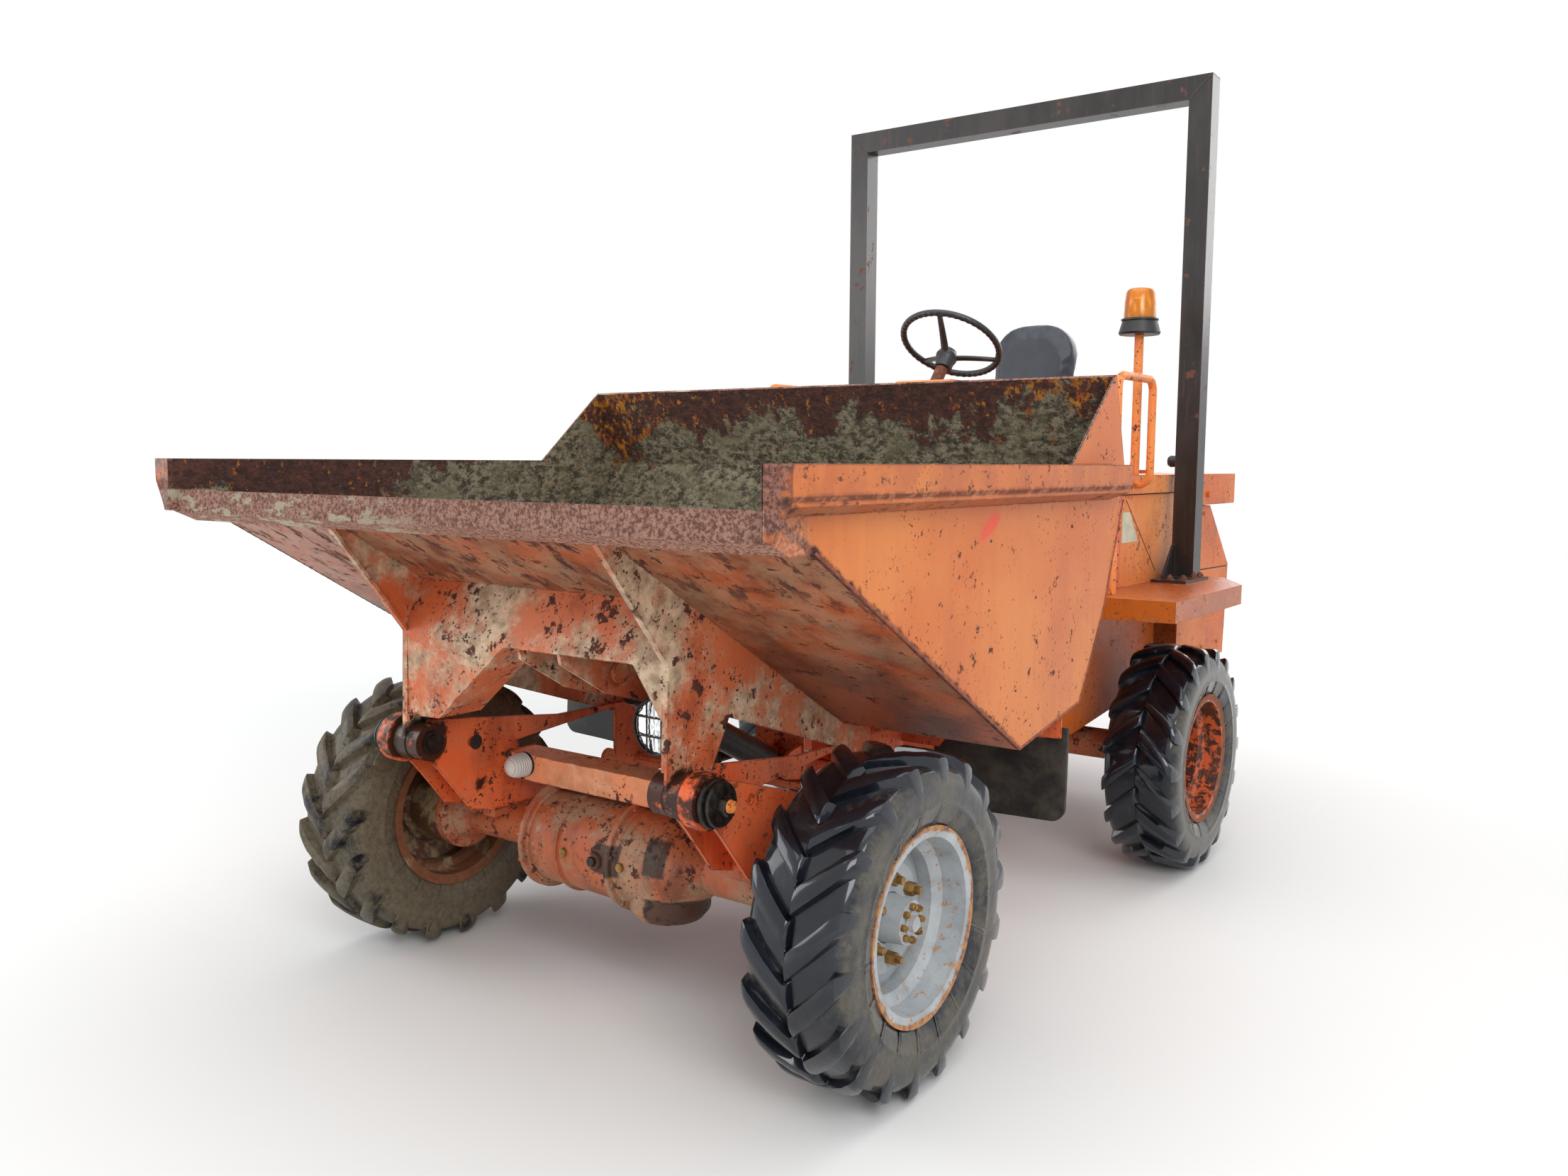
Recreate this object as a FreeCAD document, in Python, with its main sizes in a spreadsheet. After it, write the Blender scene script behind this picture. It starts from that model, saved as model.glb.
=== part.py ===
import FreeCAD, Part
import Sketcher
import math
import os

doc = FreeCAD.newDocument("site_dumper")
sheet = doc.addObject("Spreadsheet::Sheet", "Sizes")

# Driving sizes of the dumper, in millimetres, degrees or counts.
# Lengths along the machine are measured from the articulation pivot, forward ones under "front" words.
# columns: word, value, what it sets
SIZES = [
    ("axle_height", 430, "wheel centres above the ground"),
    ("front_axle", 1090, "front axle ahead of the pivot"),
    ("rear_axle", 1090, "rear axle behind the pivot"),
    ("wheel_centre", 866, "middle of each wheel from the centre line"),
    ("tyre_radius", 430, "to the lugs' tips"),
    ("tyre_section", 280, "tyre width over the sidewalls"),
    ("tread_width", 262, "tyre width over the lugs"),
    ("lug_height", 26, "lugs above the carcass"),
    ("lug_count", 18, "lugs round each half of the tread"),
    ("lug_width", 66, "width of a lug measured round the tyre"),
    ("lug_sweep", 140, "how far a lug's shoulder end trails its inner end"),
    ("rim_radius", 248, "outside of the rim flange"),
    ("rim_width", 250, "over both rim flanges"),
    ("rim_sheet", 7, "thickness of the rim"),
    ("front_reach", 1842, "front of the skip's side walls ahead of the pivot"),
    ("rear_reach", 2278, "rear of the bonnet behind the pivot"),
    ("skip_half", 1045, "inner face of each side wall from the centre line"),
    ("skip_sheet", 8, "plate of the skip"),
    ("rail_top", 1555, "top of the side walls"),
    ("rail_out", 64, "rail's reach outside the wall"),
    ("rail_face", 61, "height of the rail's outer face"),
    ("rail_height", 100, "rail down to where it meets the wall"),
    ("rail_rear", 132, "rear end of the rail ahead of the pivot"),
    ("lip_front", 1821, "front face of the pouring lip"),
    ("lip_top", 1467, "top edge of the lip"),
    ("lip_bottom", 1378, "underside of the lip"),
    ("lip_back", 1675, "where the lip's underside meets the floor"),
    ("apex_y", 716, "lowest fold of the floor"),
    ("apex_z", 808, "height of that fold"),
    ("heel_y", 330, "fold between the heel plate and the back wall"),
    ("heel_z", 873, "height of that fold"),
    ("waist_y", 162, "fold in the back wall"),
    ("waist_z", 1141, "height of that fold"),
    ("back_y", 34, "rearmost fold of the back wall"),
    ("back_z", 1545, "height of that fold"),
    ("crest_y", 121, "top edge of the back wall"),
    ("crest_z", 1817, "height of that edge"),
    ("kink_y", 420, "where the side wall starts to rise to the crest"),
    ("tip_y", 1433, "skip pivot pins ahead of the articulation pivot"),
    ("tip_z", 750, "height of the skip pivot pins"),
    ("pin_radius", 25, "skip pivot pins"),
    ("pin_fit", 0.08, "running clearance on pins and rods, on the radius"),
    ("boss_radius", 56, "skip pivot bosses"),
    ("leg_gap", 16, "room between the frame's inner plates and the bearer plates"),
    ("cradle_plate", 10, "thickness of the bearer plates"),
    ("knee_y", 1476, "front corner of the bearer plates"),
    ("knee_z", 1075, "height of that corner"),
    ("ram_x", 40, "tipping ram from the centre line"),
    ("ear_half", 69, "inner face of each ram ear from the ram's line"),
    ("ear_plate", 12, "thickness of the ram ears"),
    ("ram_eye_y", 1250, "tipping ram's rod eye, skip down"),
    ("ram_eye_z", 990, "height of that eye"),
    ("ram_foot_y", 420, "tipping ram's lower pin"),
    ("ram_foot_z", 560, "height of that pin"),
    ("ram_radius", 45, "tipping ram barrel"),
    ("rod_radius", 25, "tipping ram rod"),
    ("frame_half", 462, "inner face of the front frame's inner side plates"),
    ("frame_plate", 12, "thickness of the frame's side plates"),
    ("fork_gap", 101, "room between the inner and outer side plates, for the skip's bearer"),
    ("frame_top", 735, "top of the front frame at the hinge"),
    ("frame_bottom", 470, "bottom of the front frame at the hinge"),
    ("frame_rear", 330, "rear of the front frame ahead of the pivot"),
    ("beam_front", 1123, "front face of the cross beam"),
    ("beam_bottom", 584, "underside of the cross beam"),
    ("beam_height", 80, "height of the cross beam"),
    ("beam_depth", 110, "depth of the cross beam"),
    ("swing_z", 600, "height of the rear frame's swing axis"),
    ("trunnion_radius", 45, "swing trunnion"),
    ("rail_half", 380, "outer face of the rear frame rails"),
    ("rail_bottom", 500, "underside of the rear frame rails"),
    ("rail_section", 150, "height of the rear frame rails"),
    ("axle_tube", 60, "radius of the axle tubes"),
    ("deck_top", 1089, "top of the running boards and foot deck"),
    ("deck_skirt", 75, "depth of the boards' skirt"),
    ("deck_sheet", 8, "plate of the boards"),
    ("deck_front", 497, "front edge of the boards behind the pivot"),
    ("deck_half", 1042, "outer edge of the boards"),
    ("board_length", 1077, "length of the boards"),
    ("body_half", 700, "outer face of the rear body"),
    ("body_sheet", 6, "sheet of the rear body"),
    ("seat_box_front", 830, "front of the seat box"),
    ("seat_box_top", 1514, "top of the seat box"),
    ("bonnet_length", 473, "length of the bonnet"),
    ("bonnet_skirt", 140, "depth of the bonnet's sides"),
    ("tail_tuck", 39, "bonnet's reach behind the lower body's rear face"),
    ("hull_bottom", 677, "underside of the lower body"),
    ("rops_gap", 43, "room between the body and the roll bar's posts"),
    ("rops_tube", 90, "square tube of the roll bar"),
    ("rops_wall", 6, "wall of that tube"),
    ("rops_top", 3070, "top of the roll bar"),
    ("rops_front", 1343, "front face of the roll bar"),
    ("seat_width", 458, "seat cushion"),
    ("seat_front", 1075, "front of the seat cushion behind the pivot"),
    ("seat_rise", 76, "height of the seat pan"),
    ("cushion_height", 110, "thickness of the seat cushion"),
    ("back_width", 400, "seat back"),
    ("back_height", 545, "height of the seat back"),
    ("back_thick", 75, "thickness of the seat back"),
    ("back_lean", 6, "lean of the seat back"),
    ("helm_y", 771, "steering wheel hub behind the pivot"),
    ("helm_z", 1970, "height of the steering wheel hub"),
    ("helm_tilt", 39.5, "lean of the steering column"),
    ("helm_radius", 187, "middle of the steering wheel's rim"),
    ("beacon_inset", 10, "beacon's pole inside the body's outer face"),
    ("pole_height", 534, "beacon's pole above the seat box"),
    ("beacon_y", 1035, "beacon behind the pivot"),
    ("seat_gap", 0.3, "gap under pieces that only rest"),
]
for row, (word, value, note) in enumerate(SIZES, start=1):
    sheet.set("A%d" % row, word)
    sheet.set("B%d" % row, str(value))
    sheet.setAlias("B%d" % row, word)
    sheet.set("C%d" % row, note)
doc.recompute()


class Size:
    """A size known both as a number and by the named sizes that it is worked out from."""

    def __init__(self, value, words):
        self.value = float(value)
        self.words = words

    def __add__(self, other):
        other = as_size(other)
        return Size(self.value + other.value, "(%s + %s)" % (self.words, other.words))

    def __radd__(self, other):
        return as_size(other) + self

    def __sub__(self, other):
        other = as_size(other)
        return Size(self.value - other.value, "(%s - %s)" % (self.words, other.words))

    def __rsub__(self, other):
        return as_size(other) - self

    def __mul__(self, other):
        other = as_size(other)
        return Size(self.value * other.value, "(%s * %s)" % (self.words, other.words))

    def __rmul__(self, other):
        return as_size(other) * self

    def __truediv__(self, other):
        other = as_size(other)
        return Size(self.value / other.value, "(%s / %s)" % (self.words, other.words))

    def __neg__(self):
        return Size(-self.value, "(-1 * %s)" % self.words)


def as_size(number):
    return number if isinstance(number, Size) else Size(number, "(%r)" % float(number))


def slope_angle(rise, run):
    rise, run = as_size(rise), as_size(run)
    return Size(math.degrees(math.atan(rise.value / run.value)), "atan(%s / %s)" % (rise.words, run.words))


named = {word: Size(sheet.get(word), "Sizes." + word) for word, value, note in SIZES}


def size(word):
    return named[word]


# Small makers of plain forms

AXES = {"x": FreeCAD.Vector(1, 0, 0), "y": FreeCAD.Vector(0, 1, 0), "z": FreeCAD.Vector(0, 0, 1)}
# a sketch's own x and y directions for each plane, and the axis that its pieces are raised along
PLANES = {
    "yz": (AXES["y"], AXES["z"], AXES["x"], "x"),
    "xz": (AXES["x"], AXES["z"], -AXES["y"], "y"),
    "xy": (AXES["x"], AXES["y"], AXES["z"], "z"),
}


def bind(thing, prop, value):
    value = as_size(value)
    thing.setExpression(prop, value.words)


places = {}


def locate(thing, x=0, y=0, z=0):
    places[thing.Name] = (x, y, z)
    for letter, value in zip("xyz", (x, y, z)):
        if isinstance(value, Size) or value:
            bind(thing, "Placement.Base." + letter, value)
    return thing


def box(name, x, y, z):
    """Block between two values along each axis."""
    block = doc.addObject("Part::Box", name)
    for prop, (low, high) in zip(("Length", "Width", "Height"), (x, y, z)):
        bind(block, prop, as_size(high) - low)
    return locate(block, x[0], y[0], z[0])


def bar(name, axis, x, y, z, radius, length):
    """Round bar that starts at a point and runs along one axis."""
    rod = doc.addObject("Part::Cylinder", name)
    bind(rod, "Radius", radius)
    bind(rod, "Height", length)
    rod.Placement.Rotation = FreeCAD.Rotation(AXES["z"], AXES[axis])
    return locate(rod, x, y, z)


def outline(sketch, points, rounds=None):
    """Closed outline through corner points; a corner in rounds gets an arc of that radius."""
    rounds = rounds or {}
    corners = [FreeCAD.Vector(as_size(a).value, as_size(b).value, 0) for a, b in points]
    count = len(corners)
    ends = []
    for i, corner in enumerate(corners):
        if i in rounds:
            before = (corners[i - 1] - corner).normalize()
            after = (corners[(i + 1) % count] - corner).normalize()
            half = before.getAngle(after) / 2
            radius = as_size(rounds[i]).value
            reach = radius / math.tan(half)
            middle = corner + (before + after).normalize() * (radius / math.sin(half))
            ends.append((corner + before * reach, corner + after * reach, middle, radius))
        else:
            ends.append((corner, corner, None, None))
    lines = []
    for i in range(count):
        lines.append(sketch.addGeometry(Part.LineSegment(ends[i][1], ends[(i + 1) % count][0]), False))
    for i in range(count):
        previous = lines[i - 1]
        if i in rounds:
            start, stop, middle, radius = ends[i]
            corner = corners[i]
            bulge = middle + (corner - middle).normalize() * radius
            arc = sketch.addGeometry(Part.Arc(start, bulge, stop), False)
            first, second = (1, 2)
            made = sketch.Geometry[arc]
            if made.StartPoint.distanceToPoint(start) > made.EndPoint.distanceToPoint(start):
                first, second = (2, 1)
            sketch.addConstraint(Sketcher.Constraint("Tangent", previous, 2, arc, first))
            sketch.addConstraint(Sketcher.Constraint("Tangent", arc, second, lines[i], 1))
            ring = sketch.addConstraint(Sketcher.Constraint("Radius", arc, radius))
            sketch.setExpression("Constraints[%d]" % ring, as_size(rounds[i]).words)
            point = sketch.addGeometry(Part.Point(corner), True)
            sketch.addConstraint(Sketcher.Constraint("PointOnObject", point, 1, previous))
            sketch.addConstraint(Sketcher.Constraint("PointOnObject", point, 1, lines[i]))
            place = (point, 1)
        else:
            sketch.addConstraint(Sketcher.Constraint("Coincident", previous, 2, lines[i], 1))
            place = (lines[i], 1)
        for kind, value in zip(("DistanceX", "DistanceY"), points[i]):
            value = as_size(value)
            row = sketch.addConstraint(Sketcher.Constraint(kind, -1, 1, place[0], place[1], value.value))
            sketch.setExpression("Constraints[%d]" % row, value.words)


def drawing(name, plane, points, rounds=None):
    across, up, normal, axis = PLANES[plane]
    sketch = doc.addObject("Sketcher::SketchObject", name + "_outline")
    sketch.Placement = FreeCAD.Placement(FreeCAD.Vector(), FreeCAD.Rotation(across, up, normal))
    outline(sketch, points, rounds)
    return sketch


def plate(name, plane, points, start, stop, rounds=None):
    """Plate of a drawn outline, between two values along the plane's axis."""
    axis = PLANES[plane][3]
    sketch = drawing(name, plane, points, rounds)
    bind(sketch, "Placement.Base." + axis, start)
    raised = doc.addObject("Part::Extrusion", name)
    raised.Base = sketch
    raised.DirMode = "Custom"
    raised.Dir = AXES[axis]
    bind(raised, "LengthFwd", as_size(stop) - start)
    raised.Solid = True
    return raised


def turned(name, points, rounds=None, axis="x"):
    """Turned piece: outline drawn as distance along the axis and radius."""
    plane = {"x": "xz", "z": "xz", "y": "yz"}[axis]
    if axis == "z":
        points = [(radius, along) for along, radius in points]
    sketch = drawing(name, plane, points, rounds)
    spun = doc.addObject("Part::Revolution", name)
    spun.Source = sketch
    spun.Axis = AXES[axis]
    spun.Base = FreeCAD.Vector()
    spun.Angle = 360
    spun.Solid = True
    return spun


def joined(name, pieces):
    group = doc.addObject("Part::MultiFuse", name)
    group.Shapes = pieces
    group.Refine = True
    return group


def cut(name, base, tools):
    tool = tools[0] if len(tools) == 1 else joined(name + "_tools", tools)
    carved = doc.addObject("Part::Cut", name)
    carved.Base = base
    carved.Tool = tool
    return carved


def mirrored(name, piece):
    """The same piece on the other side of the centre line."""
    twin = doc.addObject("Part::Mirroring", name)
    twin.Source = piece
    twin.Normal = AXES["x"]
    twin.Base = FreeCAD.Vector()
    return twin


def pair(name, piece):
    """Both sides' pieces as one set."""
    group = doc.addObject("Part::Compound", name)
    group.Links = [piece, mirrored(name + "_far", piece)]
    return group


def tube_along(points, radius, bend, wall=0):
    """Round tube along straight runs joined by arcs of one bend radius."""
    path = [FreeCAD.Vector(*(as_size(v).value for v in point)) for point in points]
    edges = []
    last = path[0]
    for i in range(1, len(path) - 1):
        before = (path[i - 1] - path[i]).normalize()
        after = (path[i + 1] - path[i]).normalize()
        half = before.getAngle(after) / 2
        reach = as_size(bend).value / math.tan(half)
        start = path[i] + before * reach
        stop = path[i] + after * reach
        centre = path[i] + (before + after).normalize() * (as_size(bend).value / math.sin(half))
        bulge = centre + (path[i] - centre).normalize() * as_size(bend).value
        edges.append(Part.LineSegment(last, start).toShape())
        edges.append(Part.Arc(start, bulge, stop).toShape())
        last = stop
    edges.append(Part.LineSegment(last, path[-1]).toShape())
    wire = Part.Wire(edges)
    ring = Part.Wire([Part.makeCircle(as_size(radius).value, path[0], path[1] - path[0])])
    return wire.makePipeShell([ring], True, True)


def shaped(name, shape):
    piece = doc.addObject("Part::Feature", name)
    piece.Shape = shape
    return piece


nodes = []


def node(label, piece, x=0, y=0, z=0):
    """Names a finished sub-part and moves it with the whole machine."""
    piece.Label = label
    own_x, own_y, own_z = places.get(piece.Name, (0, 0, 0))
    locate(piece, x + own_x, y + own_y + middle_shift, z + own_z)
    nodes.append(piece)
    return piece


# the machine's length is centred on the origin
middle_shift = (size("front_reach") - size("rear_reach")) / 2

# faces that several sub-parts share
frame_outer = size("frame_half") + size("frame_plate")
cradle_inner = frame_outer + size("leg_gap")
cradle_half = cradle_inner + size("cradle_plate")
fork_half = frame_outer + size("fork_gap")
fork_outer = fork_half + size("frame_plate")
pad_top = size("axle_height") + size("axle_tube") + 5
hull_rear = size("rear_reach") - size("tail_tuck")
bonnet_front = size("rear_reach") - size("bonnet_length")
board_inner = size("body_half") - 94
board_rear = size("deck_front") + size("board_length")
rops_half = size("body_half") + size("rops_gap") + size("rops_tube")
pan_top = size("seat_box_top") + size("seat_rise")
beacon_x = size("body_half") - size("beacon_inset")


# Skip: side walls, floor and back are one folded and welded tub, open at the top and over the lip

half, sheet_t = size("skip_half"), size("skip_sheet")
outer_half = half + sheet_t
floor_rise = (size("lip_bottom") - size("apex_z")) / (size("lip_back") - size("apex_y"))
tub_block = plate("tub_block", "yz", [
    (-size("front_reach"), size("rail_top")),
    (-size("front_reach") + 14, size("lip_bottom") + 29),
    (-size("lip_front") + 58, size("lip_bottom")),
    (-size("lip_back"), size("lip_bottom")),
    (-size("apex_y"), size("apex_z")),
    (-size("heel_y"), size("heel_z")),
    (-size("waist_y"), size("waist_z")),
    (-size("back_y"), size("back_z")),
    (-size("crest_y"), size("crest_z")),
    (-size("kink_y"), size("rail_top")),
], -outer_half, outer_half)
floor_lift = sheet_t * 1.16
lip_edge = size("apex_y") + (size("lip_top") - size("apex_z") - floor_lift) / floor_rise
crest_run = (size("crest_y") - size("back_y")) / (size("crest_z") - size("back_z"))
tub_hollow = plate("tub_hollow", "yz", [
    (-size("front_reach") - 100, size("lip_top")),
    (-lip_edge, size("lip_top")),
    (-size("apex_y"), size("apex_z") + floor_lift),
    (-size("heel_y") - sheet_t * 0.9, size("heel_z") + sheet_t * 1.02),
    (-size("waist_y") - sheet_t * 1.12, size("waist_z")),
    (-size("back_y") - sheet_t * 1.05, size("back_z")),
    (-size("crest_y") - sheet_t * 1.05 - crest_run * 100, size("crest_z") + 100),
    (-size("front_reach") - 100, size("crest_z") + 100),
], -half, half)
lip_trim = box("lip_trim", (-half, half), (-size("front_reach") - 50, -size("lip_front")),
               (size("lip_bottom") - 50, size("lip_top") + 50))
tub_shell = cut("tub_shell", tub_block, [tub_hollow, lip_trim])
rail = plate("rail", "xz", [
    (outer_half, size("rail_top")),
    (outer_half + size("rail_out"), size("rail_top")),
    (outer_half + size("rail_out"), size("rail_top") - size("rail_face")),
    (outer_half + size("rail_out") - 9, size("rail_top") - size("rail_face") - 9),
    (outer_half + size("rail_out") - 9, size("rail_top") - size("rail_face") - 20),
    (outer_half, size("rail_top") - size("rail_height")),
], -size("front_reach"), -size("rail_rear"))
rail_end = plate("rail_end", "xz", [
    (outer_half, size("rail_top")),
    (outer_half + size("rail_out"), size("rail_top")),
    (outer_half + size("rail_out"), size("rail_top") - size("rail_face")),
    (outer_half + 34, size("lip_bottom") + 60),
    (outer_half + 22, size("lip_bottom") + 31),
    (outer_half, size("lip_bottom") + 31),
], -size("front_reach"), -size("front_reach") + sheet_t)
skip_tub = joined("skip_tub", [tub_shell, rail, rail_end, mirrored("rail_far", rail),
                               mirrored("rail_end_far", rail_end)])
node("skip_tub", skip_tub)


def floor_under(y):
    """Height of the floor's underside at a distance ahead of the pivot."""
    return size("apex_z") + floor_rise * (as_size(y) - size("apex_y"))


# Skip bearer: two gusset plates, a folded cross panel with its cut-out, and two ram ears

heel_rise = (size("heel_z") - size("apex_z")) / (size("apex_y") - size("heel_y"))
gusset = plate("gusset", "yz", [
    (-size("lip_back") - 40, size("lip_bottom")),
    (-size("knee_y"), size("knee_z")),
    (-size("tip_y") - size("boss_radius") + 4, size("tip_z") + 20),
    (-size("tip_y") - size("boss_radius") + 4, size("tip_z") - 10),
    (-size("tip_y"), size("tip_z") - size("boss_radius") + 1),
    (-size("tip_y") + size("boss_radius") - 6, size("tip_z") - 10),
    (-size("tip_y") + 118, size("tip_z") + 40),
    (-size("tip_y") + 188, size("tip_z") + 163),
    (-size("apex_y") + 76, size("apex_z") - 98),
    (-size("apex_y") + 150, size("apex_z") - 98),
    (-size("apex_y") + 150, size("apex_z") + heel_rise * 150),
    (-size("apex_y"), size("apex_z")),
    (-size("lip_back"), size("lip_bottom")),
], cradle_inner, cradle_half)
gusset_edge = plate("gusset_edge", "yz", [
    (-size("lip_back") - 40, size("lip_bottom")),
    (-size("knee_y"), size("knee_z")),
    (-size("knee_y") + 9, size("knee_z") + 2),
    (-size("lip_back") - 28, size("lip_bottom")),
], cradle_inner - 10, cradle_inner)
gusset_lip = plate("gusset_lip", "yz", [
    (-size("knee_y"), size("knee_z")),
    (-size("tip_y") - size("boss_radius") + 6, size("tip_z") + 64),
    (-size("tip_y") - size("boss_radius") + 15, size("tip_z") + 64),
    (-size("knee_y") + 9, size("knee_z") - 3),
], cradle_inner - 10, cradle_inner)
gusset_boss = bar("gusset_boss", "x", cradle_inner - 2, -size("tip_y"), size("tip_z"),
                  size("boss_radius"), size("cradle_plate") + 40)
cross_face = plate("cross_face", "yz", [
    (-size("knee_y") + 68, floor_under(size("knee_y") - 68)),
    (-size("knee_y"), size("knee_z")),
    (-size("knee_y") + 9, size("knee_z") - 3),
    (-size("knee_y") + 77, floor_under(size("knee_y") - 77)),
], -cradle_inner, cradle_inner)
cross_apron = plate("cross_apron", "xz", [
    (-cradle_inner, size("knee_z")),
    (cradle_inner, size("knee_z")),
    (cradle_inner, size("knee_z") - 158),
    (cradle_inner - 107, size("knee_z") - 9),
    (-cradle_inner + 411, size("knee_z") - 11),
    (-cradle_inner + 141, size("tip_z") + 89),
    (-cradle_inner, size("tip_z") + 82),
], -size("knee_y"), -size("knee_y") + 8)
# the corner panel's slanted edge is folded back
apron_fold = plate("apron_fold", "xz", [
    (-cradle_inner + 141, size("tip_z") + 89),
    (-cradle_inner + 411, size("knee_z") - 11),
    (-cradle_inner + 411, size("knee_z") - 1),
    (-cradle_inner + 403, size("knee_z") - 1),
    (-cradle_inner + 133, size("tip_z") + 89),
], -size("knee_y"), -size("knee_y") + 150)
ear_shape = [
    (-size("knee_y") + 8, size("knee_z") + 8),
    (-size("knee_y") + 74, floor_under(size("knee_y") - 74) - 4),
    (-size("ram_eye_y") + 150, floor_under(size("ram_eye_y") - 150)),
    (-size("ram_eye_y") + 138, size("ram_eye_z") - 80),
    (-size("ram_eye_y") + 111, size("ram_eye_z") - 100),
    (-size("ram_eye_y") - 46, size("ram_eye_z") - 52),
    (-size("knee_y") + 18, size("knee_z") - 40),
]
ears = []
for name, face, cap in (("ear_left", size("ram_x") + size("ear_half"), size("ear_plate")),
                        ("ear_right", size("ram_x") - size("ear_half") - size("ear_plate"), -14)):
    ears.append(plate(name, "yz", ear_shape, face, face + size("ear_plate")))
    ears.append(bar(name + "_cap", "x", face + cap, -size("ram_eye_y"), size("ram_eye_z"), 30, 14))
side_set = [gusset, gusset_edge, gusset_lip, gusset_boss]
cradle_solid = joined("cradle_solid", side_set + [mirrored(piece.Name + "_far", piece) for piece in side_set]
                      + [cross_face, cross_apron, apron_fold] + ears)
pin_clear = bar("pin_clear", "x", -cradle_half - 60, -size("tip_y"), size("tip_z"),
                size("pin_radius"), cradle_half * 2 + 120)
skip_cradle = cut("skip_cradle", cradle_solid, [pin_clear])
node("skip_cradle", skip_cradle)

# Skip pivot pins, fast in the bearer's legs; each turns in the bosses of the two frame plates beside its leg
skip_pin = bar("skip_pin", "x", size("frame_half") - 40, -size("tip_y"), size("tip_z"),
               size("pin_radius"), fork_outer - size("frame_half") + 82)
skip_collar = bar("skip_collar", "x", fork_outer + 15, -size("tip_y"), size("tip_z"), 40, 12)
skip_washer = bar("skip_washer", "x", size("frame_half") - 36, -size("tip_y"), size("tip_z"), 34, 10)
one_pin = joined("one_pin", [skip_pin, skip_collar, skip_washer])
node("skip_pins", pair("skip_pins", one_pin))


# Tipping ram, drawn along its own line and leaned about its lower pin

ram_lean = slope_angle(size("ram_eye_z") - size("ram_foot_z"), size("ram_eye_y") - size("ram_foot_y"))
ram_run = math.hypot(size("ram_eye_y").value - size("ram_foot_y").value,
                     size("ram_eye_z").value - size("ram_foot_z").value)
ram_length = Size(ram_run, "sqrt(pow(%s; 2) + pow(%s; 2))" % (
    (size("ram_eye_y") - size("ram_foot_y")).words, (size("ram_eye_z") - size("ram_foot_z")).words))


def lean(piece, angle):
    """Tilts a piece that runs forward so that its front end rises."""
    piece.Placement.Rotation = FreeCAD.Rotation(AXES["x"], -1)
    piece.setExpression("Placement.Rotation.Angle", (-as_size(angle)).words)
    return piece


foot_pin = 20
head_at = ram_length - 172
barrel_tube = bar("barrel_tube", "y", 0, -head_at, 0, size("ram_radius"), head_at - 55)
barrel_eye = bar("barrel_eye", "x", -36, 0, 0, 38, 72)
barrel_neck = box("barrel_neck", (-24, 24), (-70, -20), (-30, 30))
barrel_solid = joined("barrel_solid", [barrel_tube, barrel_eye, barrel_neck])
barrel_bore = bar("barrel_bore", "y", 0, -head_at + 40, 0, size("ram_radius") - 9, head_at - 110)
gland_bore = bar("gland_bore", "y", 0, -head_at - 5, 0, size("rod_radius") + size("pin_fit"), 60)
foot_bore = bar("foot_bore", "x", -50, 0, 0, foot_pin + size("pin_fit"), 100)
tip_barrel = cut("tip_barrel", barrel_solid, [barrel_bore, gland_bore, foot_bore])
lean(tip_barrel, ram_lean)
node("tip_ram_barrel", tip_barrel, size("ram_x"), -size("ram_foot_y"), size("ram_foot_z"))
rod_bar = bar("rod_bar", "y", 0, -ram_length + 20, 0, size("rod_radius"), ram_length - 140)
rod_eye = bar("rod_eye", "x", -size("ear_half") + 1, -ram_length, 0, 38, size("ear_half") * 2 - 2)
tip_rod = joined("tip_rod", [rod_bar, rod_eye])
lean(tip_rod, ram_lean)
node("tip_ram_rod", tip_rod, size("ram_x"), -size("ram_foot_y"), size("ram_foot_z"))


# Front frame: double side plates with pivot bosses, cross beam, hinge plates and ram lugs

frame_side = plate("frame_side", "yz", [
    (-size("tip_y") - 54, size("tip_z")),
    (-size("tip_y") + 14, size("tip_z") + 62),
    (-size("front_axle") + 181, size("frame_top") + 10),
    (-size("frame_rear"), size("frame_top")),
    (-size("frame_rear"), size("frame_bottom")),
    (-size("front_axle") + 190, size("frame_bottom")),
    (-size("front_axle") + 110, pad_top),
    (-size("front_axle") - 105, pad_top),
    (-size("front_axle") - 185, pad_top + 22),
    (-size("tip_y") + 57, size("tip_z") - 107),
    (-size("tip_y") + 5, size("tip_z") - 48),
    (-size("tip_y") - 40, size("tip_z") - 36),
], size("frame_half"), frame_outer)
side_window = plate("side_window", "yz", [
    (-size("front_axle") - 15, size("tip_z") - 57),
    (-size("front_axle") + 440, size("frame_top") - 6),
    (-size("front_axle") + 440, size("frame_bottom") + 60),
    (-size("front_axle") + 150, size("frame_bottom") + 60),
], size("frame_half") - 5, frame_outer + 5, {2: 30, 3: 30})
fork_side = plate("fork_side", "yz", [
    (-size("tip_y") - 68, size("tip_z")),
    (-size("tip_y") - 20, size("tip_z") + 64),
    (-size("tip_y") + 53, size("tip_z") + 45),
    (-size("tip_y") + 241, size("tip_z") - 14),
    (-size("front_axle") + 105, size("tip_z") - 80),
    (-size("front_axle") + 125, pad_top + 40),
    (-size("front_axle") + 105, pad_top),
    (-size("front_axle") - 105, pad_top),
    (-size("front_axle") - 185, pad_top + 22),
    (-size("tip_y") + 57, size("tip_z") - 107),
    (-size("tip_y") + 20, size("tip_z") - 65),
    (-size("tip_y") - 48, size("tip_z") - 46),
], fork_half, fork_outer)
fork_boss = bar("fork_boss", "x", fork_half - 28, -size("tip_y"), size("tip_z"), 70, size("frame_plate") + 34)
fork_web = box("fork_web", (frame_outer - 1, fork_half + 1), (-size("tip_y") + 236, -size("tip_y") + 246),
               (pad_top, size("tip_z") - 40))
frame_boss = bar("frame_boss", "x", size("frame_half") - 24, -size("tip_y"), size("tip_z"), 54,
                 size("frame_plate") + 35)
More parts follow.
